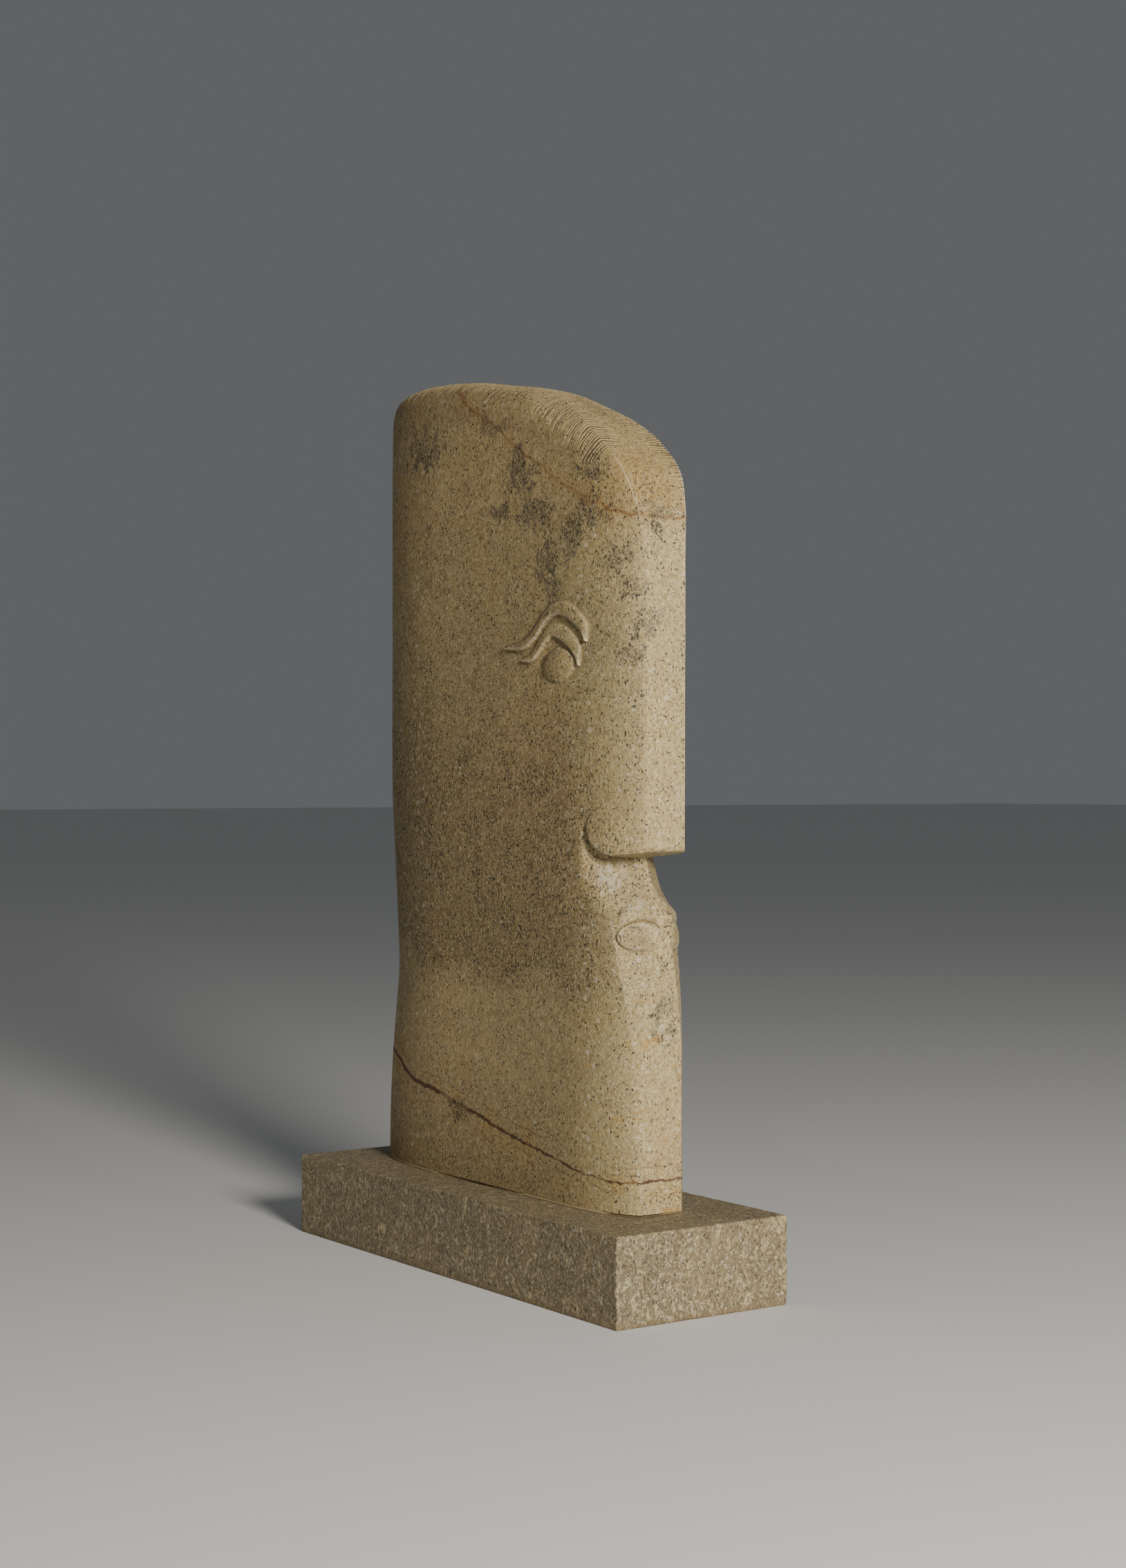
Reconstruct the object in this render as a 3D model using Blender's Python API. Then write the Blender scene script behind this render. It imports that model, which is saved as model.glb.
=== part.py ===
# Slab head in granite on a block plinth, set in a thin bed of pale mortar.
# Metres, +Z up. The face looks along -Y and the broad flanks face -X and +X.
# The origin is the middle of the plinth's underside.

import bmesh
import bpy
import math

import numpy as np
from mathutils import Vector
from mathutils.geometry import delaunay_2d_cdt

# Driving sizes
PLINTH_WIDTH = 0.188
PLINTH_LENGTH = 0.560
PLINTH_HEIGHT = 0.080
PLINTH_EDGE_BEVEL = 0.0015
BED_THICKNESS = 0.0016
BED_LIP = 0.0012
JOINT_GAP = 0.0003
HEAD_HEIGHT = 0.7855
HEAD_DEPTH = 0.458
HEAD_THICKNESS = 0.086
HEAD_SETBACK = 0.0550

# Where the head stands
FOOT_Z = PLINTH_HEIGHT + JOINT_GAP + BED_THICKNESS + JOINT_GAP
FRONT_Y = -PLINTH_LENGTH / 2 + HEAD_SETBACK

# The carving is measured on the flank: "back" from the front plane, "up" from the foot and
# "out" from the middle plane. Every place and size of it is a share of the head's own sizes,
# and the tables hold thousandths of them.
DRAWN_BACK = HEAD_DEPTH / 1000
DRAWN_UP = HEAD_HEIGHT / 1000

# Front and crown from the foot to the back corner: back, up, how flat the front stays there
# (0 falls away to the thin back edge, 1000 is full thickness), reach of the rounding, crease
FRONT_AND_CROWN = [
    (15, -60, 465, 115, 2), (15, 200, 465, 115, 2), (10, 260, 470, 120, 3), (2, 320, 460, 130, 4),
    (0, 345, 440, 140, 4), (0, 400, 429, 142, 4),
    (0, 700, 449, 142, 4), (2, 749, 469, 142, 4), (12, 793, 571, 130, 4), (24, 817, 653, 110, 4),
    (35, 832, 714, 90, 4), (48, 846, 755, 75, 4), (69, 860, 796, 60, 3), (100, 877, 796, 48, 1),
    (143, 897, 755, 40, 0), (195, 917, 592, 37, 0), (260, 936, 347, 37, 0), (338, 956, 82, 37, 0),
    (431, 970, 0, 37, 0), (528, 980, 0, 37, 0), (619, 990, 0, 37, 0), (719, 997, 0, 37, 0),
    (810, 1000, 0, 37, 0), (874, 998, 0, 37, 0), (933, 990, 0, 37, 0), (971, 973, 0, 37, 0),
    (993, 949, 0, 37, 0), (1000, 918, 0, 37, 0),
]
# Back of the head, from the crown down: back, up
BACK_LINE = [
    (1000, 1060), (1000, 918), (1000, 700), (1000, 500), (993, 430), (976, 318),
    (969, 252), (979, 205), (998, 130), (1009, 50), (1010, -40),
]
BACK_REACH = 0.190 * HEAD_HEIGHT
BACK_HALF_WIDTH = 0.092 * HEAD_THICKNESS / 2
HALF_THICKNESS = HEAD_THICKNESS / 2
CORNER_POWER = 3.0

# Wedge of the mouth: where its ridge would stand, back against up
RIDGE_LINE = [
    (-38, 150), (-27, 237), (-22, 262), (-15, 290), (-6, 322), (-3, 337), (5, 345),
    (24, 356), (40, 366), (52, 380), (62, 395), (67, 405), (69, 450),
]
RIDGE_HALF_WIDTH = 0.002 * HEAD_HEIGHT
WEDGE_SOFT_FROM = 0.324 * HEAD_HEIGHT
WEDGE_SOFT_TO = 0.350 * HEAD_HEIGHT
WEDGE_SOFTNESS = 0.014 * HEAD_HEIGHT

# Nose
NOSE_TIP_UP = 0.4095 * HEAD_HEIGHT
NOSE_UNDERSIDE_SLOPE = 0.10
NOSE_TIP_RADIUS = 0.006 * HEAD_HEIGHT
NOTCH_RADIUS = 0.005 * HEAD_HEIGHT
LEDGE_RAMP = 0.003 * HEAD_HEIGHT
WING_BACK = 0.081 * HEAD_DEPTH
WING_UP = 0.437 * HEAD_HEIGHT
WING_HALF_LENGTH = 0.0655 * HEAD_DEPTH
WING_HALF_HEIGHT = 0.031 * HEAD_HEIGHT
WING_RAISE = 0.074 * HALF_THICKNESS

# Lips
MOUTH_CORNER_BACK = 0.067 * HEAD_DEPTH
MOUTH_CORNER_UP = 0.317 * HEAD_HEIGHT
MOUTH_PEAK_BACK = 0.0275 * HEAD_DEPTH
MOUTH_PEAK_UP = 0.3315 * HEAD_HEIGHT
MOUTH_FRONT_UP = 0.319 * HEAD_HEIGHT
UPPER_LIP_RAISE = 0.074 * HALF_THICKNESS
UPPER_LIP_FADE = 0.014 * HEAD_HEIGHT
PAD_BACK = 0.025 * HEAD_DEPTH
PAD_UP = 0.315 * HEAD_HEIGHT
PAD_HALF_LENGTH = 0.037 * HEAD_DEPTH
PAD_HALF_HEIGHT = 0.0165 * HEAD_HEIGHT
PAD_RAISE = 0.102 * HALF_THICKNESS

# Eye: two overlapping lids and the ball. The lids run from the front tip to the tail:
# back, up, half-width
UPPER_LID = [
    (145, 652, 1), (155, 669, 8), (184, 683, 9.5), (219, 692, 9.3), (260, 690, 8),
    (291, 679, 7.5), (322, 663, 7.5), (362, 652, 6), (428, 650, 1),
]
LOWER_LID = [
    (167, 625, 1), (174, 640, 7), (197, 654, 9.5), (228, 664, 9.5), (260, 668, 8.8),
    (286, 659, 8), (305, 648, 7.5), (329, 637, 6), (367, 634, 1),
]
UPPER_LID_RAISE = 0.102 * HALF_THICKNESS
LOWER_LID_RAISE = 0.093 * HALF_THICKNESS
BALL_BACK = 0.236 * HEAD_DEPTH
BALL_UP = 0.626 * HEAD_HEIGHT
BALL_HALF_LENGTH = 0.0535 * HEAD_DEPTH
BALL_HALF_HEIGHT = 0.0205 * HEAD_HEIGHT
BALL_RAISE = 0.111 * HALF_THICKNESS
SOCKET_BACK = 0.207 * HEAD_DEPTH
SOCKET_UP = 0.657 * HEAD_HEIGHT
SOCKET_HALF_LENGTH = 0.164 * HEAD_DEPTH
SOCKET_HALF_HEIGHT = 0.062 * HEAD_HEIGHT
SOCKET_DEPTH = 0.056 * HALF_THICKNESS

# Facets of the solid
CURVE_STEP = 0.002 * HEAD_HEIGHT
FLANK_SPACING = 0.026 * HEAD_HEIGHT
CROWN_SPACING = 0.014 * HEAD_HEIGHT
CARVING_SPACING = 0.0075 * HEAD_HEIGHT
MOUTH_SPACING = 0.006 * HEAD_HEIGHT
CORNER_SPACING = 0.0025 * HEAD_HEIGHT
LAND_COLUMNS = 2
EDGE_COLUMNS = 4
FRONT_EDGE_DEPTH = 0.003 * HEAD_HEIGHT
CROWN_EDGE_DEPTH = 0.020 * HEAD_HEIGHT
BACK_EDGE_DEPTH = 0.009 * HEAD_HEIGHT


def drawn(table, *units):
    """The rows of a table, each column in its own unit."""
    return [tuple(value * unit for value, unit in zip(row, units)) for row in table]


def smooth_curve(points, step=CURVE_STEP):
    """Catmull-Rom curve through the points, sampled about every step."""
    knots = np.array(points, float)
    padded = np.vstack([2 * knots[0] - knots[1], knots, 2 * knots[-1] - knots[-2]])
    samples = []
    for before, start, end, after in zip(padded, padded[1:], padded[2:], padded[3:]):
        count = max(2, math.ceil(np.linalg.norm((end - start)[:2]) / step))
        t = (np.arange(count) / count)[:, None]
        samples.append(0.5 * (
            2 * start + (end - before) * t
            + (2 * before - 5 * start + 4 * end - after) * t ** 2
            + (3 * start - before - 3 * end + after) * t ** 3
        ))
    samples.append(knots[-1:])
    return np.vstack(samples)


def smooth_step(low, high, value):
    t = np.clip((value - low) / (high - low), 0, 1)
    return t * t * (3 - 2 * t)


def rounding(depth, reach, crease=0.0):
    """From 0 on the edge to 1 at the reach, along an ellipse cut short by the crease."""
    lost = np.sqrt(1 - (1 - crease / (reach + crease)) ** 2)
    left = np.clip(1 - (depth + crease) / (reach + crease), 0, 1)
    return (np.sqrt(1 - left ** 2) - lost) / (1 - lost)


def nearest_on(curve, back, up):
    """Distance to a sampled curve and the place of the nearest point, in samples."""
    back, up = np.ravel(back), np.ravel(up)
    start, along = curve[:-1, :2], np.diff(curve[:, :2], axis=0)
    length2 = (along ** 2).sum(1)
    distance, place = np.empty(len(back)), np.empty(len(back))
    for first in range(0, len(back), 2000):
        part = slice(first, first + 2000)
        away = np.stack([back[part], up[part]], -1)[:, None] - start
        t = np.clip((away * along).sum(2) / length2, 0, 1)
        gap = np.linalg.norm(away - t[..., None] * along, axis=2)
        best = gap.argmin(1)
        rows = np.arange(len(best))
        distance[part] = gap[rows, best]
        place[part] = best + t[rows, best]
    return distance, place


def read_column(curve, place, column):
    return np.interp(place, np.arange(len(curve)), curve[:, column])


CROWN_CURVE = smooth_curve(drawn(FRONT_AND_CROWN, DRAWN_BACK, DRAWN_UP, 0.001, DRAWN_UP, DRAWN_UP))
BACK_CURVE = smooth_curve(drawn(BACK_LINE, DRAWN_BACK, DRAWN_UP))[::-1]
RIDGE_CURVE = smooth_curve(drawn(RIDGE_LINE, DRAWN_BACK, DRAWN_UP))
UPPER_LID_CURVE = smooth_curve(drawn(UPPER_LID, DRAWN_BACK, DRAWN_UP, DRAWN_UP))
LOWER_LID_CURVE = smooth_curve(drawn(LOWER_LID, DRAWN_BACK, DRAWN_UP, DRAWN_UP))


def back_edge(up):
    return np.interp(up, BACK_CURVE[:, 1], BACK_CURVE[:, 0])


def ridge_back(up):
    return np.interp(up, RIDGE_CURVE[:, 1], RIDGE_CURVE[:, 0])


def front_back(up):
    # the front of the slab, set back a little at the jaw
    below = CROWN_CURVE[:, 1] < WING_UP
    return np.interp(up, CROWN_CURVE[below, 1], CROWN_CURVE[below, 0])


def underside_up(back):
    return NOSE_TIP_UP - NOSE_UNDERSIDE_SLOPE * (back - NOSE_TIP_RADIUS)


def block_out(back, up):
    """Half-thickness of the slab with its rounded edges, before the face is cut."""
    depth, place = nearest_on(CROWN_CURVE, back, up)
    flat = np.maximum(read_column(CROWN_CURVE, place, 2), 0)
    reach = read_column(CROWN_CURVE, place, 3)
    crease = np.maximum(read_column(CROWN_CURVE, place, 4), 0)
    front = flat + (1 - flat) * rounding(depth, reach, crease)
    rear = rounding(np.maximum(back_edge(up) - back, 0), BACK_REACH)
    front, rear = np.maximum(front, 0.001), np.maximum(rear, 0.001)
    both = (front ** -CORNER_POWER + rear ** -CORNER_POWER - 1) ** (-1 / CORNER_POWER)
    return BACK_HALF_WIDTH + (HALF_THICKNESS - BACK_HALF_WIDTH) * both


def wedge_out(back, up, block):
    """The slab cut by the two flat facets that meet in the ridge of the mouth."""
    facet = np.maximum(back - ridge_back(up), RIDGE_HALF_WIDTH)
    soft = WEDGE_SOFTNESS * (0.001 + smooth_step(WEDGE_SOFT_FROM, WEDGE_SOFT_TO, up))
    share = np.clip(0.5 + 0.5 * (block - facet) / soft, 0, 1)
    cut = block + (facet - block) * share - soft * share * (1 - share)
    return np.maximum(cut, RIDGE_HALF_WIDTH)


def mouth_line_up(back):
    behind = MOUTH_PEAK_UP - (MOUTH_PEAK_UP - MOUTH_CORNER_UP) * (
        (back - MOUTH_PEAK_BACK) / (MOUTH_CORNER_BACK - MOUTH_PEAK_BACK)) ** 2
    ahead = MOUTH_PEAK_UP - (MOUTH_PEAK_UP - MOUTH_FRONT_UP) * (
        (back - MOUTH_PEAK_BACK) / MOUTH_PEAK_BACK) ** 2
    return np.where(back > MOUTH_PEAK_BACK, behind, ahead)


def lips_out(back, up):
    above = up - mouth_line_up(back)
    corner = 1 - smooth_step(0.8, 1.03, back / MOUTH_CORNER_BACK)
    upper = UPPER_LIP_RAISE * np.exp(-np.maximum(above, 0) / UPPER_LIP_FADE) * corner
    spread = ((back - PAD_BACK) / PAD_HALF_LENGTH) ** 2 + ((up - PAD_UP) / PAD_HALF_HEIGHT) ** 2
    pad = PAD_RAISE * np.sqrt(np.clip(1 - spread ** 2, 0, 1))
    over = smooth_step(-0.08, 0.05, above / UPPER_LIP_FADE)
    return upper * over + pad * (1 - over)


def wing_spread(back, up):
    return np.hypot((back - WING_BACK) / WING_HALF_LENGTH, (up - WING_UP) / WING_HALF_HEIGHT)


def wing_out(back, up):
    fade = smooth_step(-0.9, 0.2, (back - WING_BACK) / WING_HALF_LENGTH)
    return WING_RAISE * (1 - smooth_step(0.86, 1.0, wing_spread(back, up))) * fade


def nose_share(back, up):
    """1 on the nose and above it, 0 below its underside and round the back of its wing."""
    under = smooth_step(-LEDGE_RAMP, 0, up - underside_up(back))
    round_wing = 1 - smooth_step(1, 1 + LEDGE_RAMP / WING_HALF_HEIGHT, wing_spread(back, up))
    share = np.where(back < WING_BACK, under, np.where(up < WING_UP, round_wing, 1))
    return np.maximum(share, smooth_step(1, 1.3, (back - WING_BACK) / WING_HALF_LENGTH))


def lid_out(curve, raise_by, back, up):
    """A raised band that climbs to its inner edge and drops there to what lies under it."""
    distance, place = nearest_on(curve, back, up)
    whole = np.clip(place.astype(int), 0, len(curve) - 2)
    along = curve[whole + 1, :2] - curve[whole, :2]
    away_back = np.ravel(back) - read_column(curve, place, 0)
    away_up = np.ravel(up) - read_column(curve, place, 1)
    side = np.sign(along[:, 0] * away_up - along[:, 1] * away_back)
    across = side * distance / read_column(curve, place, 2)
    return raise_by * np.sqrt(np.clip(1 - across ** 4, 0, 1)) * (0.75 - 0.25 * across)


def eye_out(back, up):
    socket = ((back - SOCKET_BACK) / SOCKET_HALF_LENGTH) ** 2 + ((up - SOCKET_UP) / SOCKET_HALF_HEIGHT) ** 2
    hollow = -SOCKET_DEPTH * np.clip(1 - socket, 0, 1) ** 1.5
    spread = ((back - BALL_BACK) / BALL_HALF_LENGTH) ** 2 + ((up - BALL_UP) / BALL_HALF_HEIGHT) ** 2
    ball = BALL_RAISE * np.sqrt(np.clip(1 - spread, 0, 1))
    upper = lid_out(UPPER_LID_CURVE, UPPER_LID_RAISE, back, up)
    lower = lid_out(LOWER_LID_CURVE, LOWER_LID_RAISE, back, up)
    return hollow + np.maximum(np.maximum(upper, lower), np.where(lower > 0, 0, ball))


def head_out(back, up):
    """Half-thickness of the carved head at a place on its flank, in parts."""
    back, up = np.ravel(np.asarray(back, float)), np.ravel(np.asarray(up, float))
    block = block_out(back, up)
    face = wedge_out(back, up, block)
    face = face + lips_out(back, up) * smooth_step(1, 3, face / RIDGE_HALF_WIDTH)
    nose = block + wing_out(back, up)
    return face + (nose - face) * nose_share(back, up) + eye_out(back, up)


def fillet(corner, before, after, radius, count=5):
    """Points that round a corner between two neighbours."""
    corner, before, after = (Vector(p) for p in (corner, before, after))
    start = corner + (before - corner).normalized() * radius
    end = corner + (after - corner).normalized() * radius
    return [tuple(start.lerp(corner, t).lerp(corner.lerp(end, t), t)) for t in np.linspace(0, 1, count)]


def respace(points, spacing):
    """Points along a line of straight runs, at most the given spacing apart and evenly set."""
    points = np.array(points, float)
    run = np.concatenate([[0], np.cumsum(np.linalg.norm(np.diff(points, axis=0), axis=1))])
    stops = np.linspace(0, run[-1], max(2, round(run[-1] / spacing) + 1))
    return np.stack([np.interp(stops, run, points[:, k]) for k in range(2)], -1)


def outline():
    """The head's outline in the middle plane, from the front of the foot round to its back."""
    ups = np.arange(0, underside_up(WING_BACK) - NOTCH_RADIUS, CURVE_STEP / 2)
    front = np.stack([np.maximum(ridge_back(ups) + RIDGE_HALF_WIDTH, front_back(ups)), ups], -1)
    inner_up = underside_up(WING_BACK)
    inner = (ridge_back(inner_up) + RIDGE_HALF_WIDTH, inner_up)
    tip = (0, underside_up(0))
    notch = fillet(inner, tuple(front[-1]), tip, NOTCH_RADIUS)
    nose = fillet(tip, inner, (0, WING_UP), NOSE_TIP_RADIUS)
    crown = CROWN_CURVE[CROWN_CURVE[:, 1] > nose[-1][1], :2]
    back = BACK_CURVE[(BACK_CURVE[:, 1] < crown[-1, 1] - CURVE_STEP) & (BACK_CURVE[:, 1] > 0)][::-1]
    foot = [(back_edge(0), 0)]
    chin = front[:, 1] < WEDGE_SOFT_FROM - CROWN_SPACING
    brow = crown[:, 0] < CURVE_STEP
    runs = [
        (front[chin], FLANK_SPACING),
        (np.vstack([front[chin][-1:], front[~chin], notch[:1]]), MOUTH_SPACING),
        (notch, CORNER_SPACING),
        (np.vstack([notch[-1:], nose[:1]]), CARVING_SPACING),
        (nose, CORNER_SPACING),
        (np.vstack([nose[-1:], crown[brow]]), FLANK_SPACING),
        (np.vstack([crown[brow][-1:], crown[~brow]]), CROWN_SPACING),
        (np.vstack([crown[-1:], back, foot]), FLANK_SPACING),
    ]
    line = [respace(points, spacing)[:-1] for points, spacing in runs]
    return np.vstack(line + [np.array(foot, float)])


def inward(line):
    """Unit normals of the outline that point into the stone."""
    ahead = np.diff(line, axis=0)
    ahead /= np.linalg.norm(ahead, axis=1)[:, None]
    along = np.vstack([ahead[:1], ahead[:-1] + ahead[1:], ahead[-1:]])
    normal = np.stack([along[:, 1], -along[:, 0]], -1)
    normal /= np.linalg.norm(normal, axis=1)[:, None]
    normal[0], normal[-1] = (1, 0), (-1, 0)
    return normal


def edge_depth(line):
    """How far the rounded edge runs in from the outline: little in front, far on the crown."""
    back, up = line[:, 0] / HEAD_DEPTH, line[:, 1] / HEAD_HEIGHT
    crown = smooth_step(0.76, 0.90, up) * smooth_step(0.03, 0.19, back)
    rear = smooth_step(0.90, 0.99, back) * (up < 0.99)
    depth = FRONT_EDGE_DEPTH + (CROWN_EDGE_DEPTH - FRONT_EDGE_DEPTH) * crown
    return depth + (BACK_EDGE_DEPTH - depth) * rear


def oval(back, up, half_length, half_height, turns):
    """Points round an oval on the flank at the given turns."""
    return [(back + half_length * math.cos(turn), up + half_height * math.sin(turn)) for turn in turns]


def eye_points():
    found = []
    for curve in (UPPER_LID_CURVE, LOWER_LID_CURVE):
        stops = respace(curve[:, :2], CARVING_SPACING)
        _, place = nearest_on(curve, stops[:, 0], stops[:, 1])
        width = read_column(curve, place, 2)[:, None]
        for share in (-1.12, -0.8, 0.0, 0.8, 1.12):
            found += list(stops + inward(stops) * width * share)
    for share, count in ((1.03, 20), (0.8, 16), (0.45, 9)):
        turns = np.linspace(0, 2 * math.pi, count, endpoint=False)
        found += oval(BALL_BACK, BALL_UP, BALL_HALF_LENGTH * share, BALL_HALF_HEIGHT * share, turns)
    return found


def nose_points():
    found = []
    for back in np.arange(MOUTH_SPACING, WING_BACK, MOUTH_SPACING):
        for rise in (-LEDGE_RAMP, 0, 4 * LEDGE_RAMP):
            found.append((back, underside_up(back) + rise))
    turns = np.radians(np.arange(-90, 81, 9))
    for share in (1 + LEDGE_RAMP / WING_HALF_HEIGHT, 1.0, 0.86):
        found += oval(WING_BACK, WING_UP, WING_HALF_LENGTH * share, WING_HALF_HEIGHT * share, turns)
    return found


def mouth_line_points():
    found = []
    for back in np.arange(MOUTH_SPACING / 3, MOUTH_CORNER_BACK * 1.2, MOUTH_SPACING * 0.8):
        for rise in (-0.25, 0.25):
            found.append((back, mouth_line_up(back) + rise * LEDGE_RAMP))
    return found


def jaw_points():
    """Places along the arris where the facet of the mouth cuts the slab."""
    found = []
    across = np.arange(0, 1, 0.004) * MOUTH_CORNER_BACK * 1.5
    for up in np.arange(0.2 * HEAD_HEIGHT, WEDGE_SOFT_FROM + MOUTH_SPACING, MOUTH_SPACING):
        cut = across - ridge_back(up) < block_out(across, np.full_like(across, up))
        if cut.any():
            found.append((across[cut].max(), up))
    return found


def mouth_points():
    backs = np.arange(MOUTH_SPACING / 3, MOUTH_CORNER_BACK * 1.6, MOUTH_SPACING)
    ups = np.arange(PAD_UP - 1.4 * PAD_HALF_HEIGHT, NOSE_TIP_UP - LEDGE_RAMP, MOUTH_SPACING)
    return [(back, up) for back in backs for up in ups]


def wide_points():
    found = []
    for row, up in enumerate(np.arange(FLANK_SPACING / 2, HEAD_HEIGHT, FLANK_SPACING * 0.87)):
        start = FLANK_SPACING / 2 * (row % 2)
        found += [(back, up) for back in np.arange(start, HEAD_DEPTH, FLANK_SPACING)]
    return found


def flank_points(border):
    """Points inside the border: close together on the carving, wide apart elsewhere."""
    fields = [
        (eye_points(), CARVING_SPACING * 0.4),
        (nose_points(), MOUTH_SPACING * 0.33),
        (mouth_line_points(), MOUTH_SPACING * 0.2),
        (jaw_points(), MOUTH_SPACING * 0.5),
        (mouth_points(), MOUTH_SPACING * 0.7),
        (wide_points(), FLANK_SPACING * 0.62),
    ]
    taken = np.array(border)
    for points, apart in fields:
        for back, up in points:
            gap = np.hypot(taken[:, 0] - back, taken[:, 1] - up)
            if gap.min() > apart and inside(border, back, up):
                taken = np.vstack([taken, (back, up)])
    return taken[len(border):]


def inside(border, back, up):
    """Whether a place lies within the closed border."""
    a, b = border, np.roll(border, -1, axis=0)
    spans = (a[:, 1] > up) != (b[:, 1] > up)
    with np.errstate(divide="ignore", invalid="ignore"):
        cross = a[:, 0] + (up - a[:, 1]) * (b[:, 0] - a[:, 0]) / (b[:, 1] - a[:, 1])
    return bool((spans & (cross > back)).sum() % 2)


def place(out, back, up):
    return Vector((out, FRONT_Y + back, FOOT_Z + up))


def build_head():
    """The head: a belt round its edge, a flank on each side and the flat foot."""
    line = outline()
    normal, depth = inward(line), edge_depth(line)
    steps = np.linspace(0, math.pi / 2, EDGE_COLUMNS + 1)
    rings = [line + normal * (depth * (1 - math.cos(a)))[:, None] for a in steps]
    outs = [head_out(ring[:, 0], ring[:, 1]) for ring in rings]

    mesh = bmesh.new()
    columns = []
    for side, order in ((-1, range(EDGE_COLUMNS, -1, -1)), (1, range(EDGE_COLUMNS + 1))):
        for k in order:
            spots = zip(outs[k], rings[k])
            columns.append([mesh.verts.new(place(side * out, *spot)) for out, spot in spots])
        if side < 0:
            for k in range(1, LAND_COLUMNS):
                share = 2 * k / LAND_COLUMNS - 1
                spots = zip(outs[0], line)
                columns.append([mesh.verts.new(place(share * out, *spot)) for out, spot in spots])
    for left, right in zip(columns, columns[1:]):
        for i in range(len(line) - 1):
            mesh.faces.new((left[i], right[i], right[i + 1], left[i + 1]))

    border = rings[-1]
    sole = respace([border[-1], border[0]], FLANK_SPACING)[1:-1]
    loop = np.vstack([border, sole])
    inner = flank_points(loop)
    flat = np.vstack([loop, inner])
    edges = [(i, (i + 1) % len(loop)) for i in range(len(loop))]
    _, _, triangles, source, _, _ = delaunay_2d_cdt([Vector(p) for p in flat], edges, [], 1, 1e-9)
    heights = head_out(flat[:, 0], flat[:, 1])
    soles = {}
    for side, rim in ((-1, columns[0]), (1, columns[-1])):
        verts = list(rim)
        spots = zip(heights[len(rim):], flat[len(rim):])
        verts += [mesh.verts.new(place(side * out, *spot)) for out, spot in spots]
        for triangle in triangles:
            corners = [verts[source[i][0]] for i in triangle]
            mesh.faces.new(corners if side > 0 else corners[::-1])
        soles[side] = verts[len(rim):len(loop)]
    foot = [column[0] for column in columns] + soles[1][::-1]
    foot += [column[-1] for column in reversed(columns)] + soles[-1]
    mesh.faces.new(foot)
    bmesh.ops.recalc_face_normals(mesh, faces=mesh.faces[:])
    return mesh, [v.co.copy() for v in foot]


def add_object(name, mesh, material, smooth_angle=None):
    data = bpy.data.meshes.new(name)
    mesh.to_mesh(data)
    mesh.free()
    data.materials.append(material)
    if smooth_angle:
        data.shade_smooth()
        data.set_sharp_from_angle(angle=smooth_angle)
    thing = bpy.data.objects.new(name, data)
    bpy.context.scene.collection.objects.link(thing)
    return thing


def stone(name, colour, roughness):
    material = bpy.data.materials.new(name)
    material.use_nodes = True
    shader = material.node_tree.nodes["Principled BSDF"]
    shader.inputs["Base Color"].default_value = (*colour, 1)
    shader.inputs["Roughness"].default_value = roughness
    shader.inputs["Metallic"].default_value = 0.0
    return material


def build_plinth():
    mesh = bmesh.new()
    bmesh.ops.create_cube(mesh, size=1)
    bmesh.ops.scale(mesh, vec=(PLINTH_WIDTH, PLINTH_LENGTH, PLINTH_HEIGHT), verts=mesh.verts[:])
    bmesh.ops.translate(mesh, vec=(0, 0, PLINTH_HEIGHT / 2), verts=mesh.verts[:])
    plinth = add_object("plinth", mesh, stone("plinth_granite", (0.30, 0.27, 0.22), 0.8))
    bevel = plinth.modifiers.new("worn_edges", "BEVEL")
    bevel.width = PLINTH_EDGE_BEVEL
    bevel.segments = 1


def build_bed(foot):
    """Mortar under the head, following its foot and standing a lip out of the joint."""
    low, high = PLINTH_HEIGHT + JOINT_GAP, PLINTH_HEIGHT + JOINT_GAP + BED_THICKNESS
    middle = Vector((0, FRONT_Y + HEAD_DEPTH / 2))
    ring = []
    for corner in foot:
        spot = corner.to_2d()
        ring.append(spot + (spot - middle).normalized() * BED_LIP)
    mesh = bmesh.new()
    bottom = mesh.faces.new([mesh.verts.new((*spot, low)) for spot in ring])
    lifted = bmesh.ops.extrude_face_region(mesh, geom=[bottom])
    tops = [v for v in lifted["geom"] if isinstance(v, bmesh.types.BMVert)]
    bmesh.ops.translate(mesh, vec=(0, 0, high - low), verts=tops)
    bmesh.ops.recalc_face_normals(mesh, faces=mesh.faces[:])
    add_object("setting_bed", mesh, stone("mortar", (0.55, 0.47, 0.33), 0.9))


def main():
    for thing in list(bpy.data.objects):
        bpy.data.objects.remove(thing)
    head, foot = build_head()
    add_object("head", head, stone("head_granite", (0.36, 0.29, 0.19), 0.7), math.radians(35))
    build_plinth()
    build_bed(foot)


main()
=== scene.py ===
import math

import bpy
import numpy as np
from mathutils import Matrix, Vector, noise
from mathutils.geometry import delaunay_2d_cdt
from mathutils.kdtree import KDTree


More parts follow.
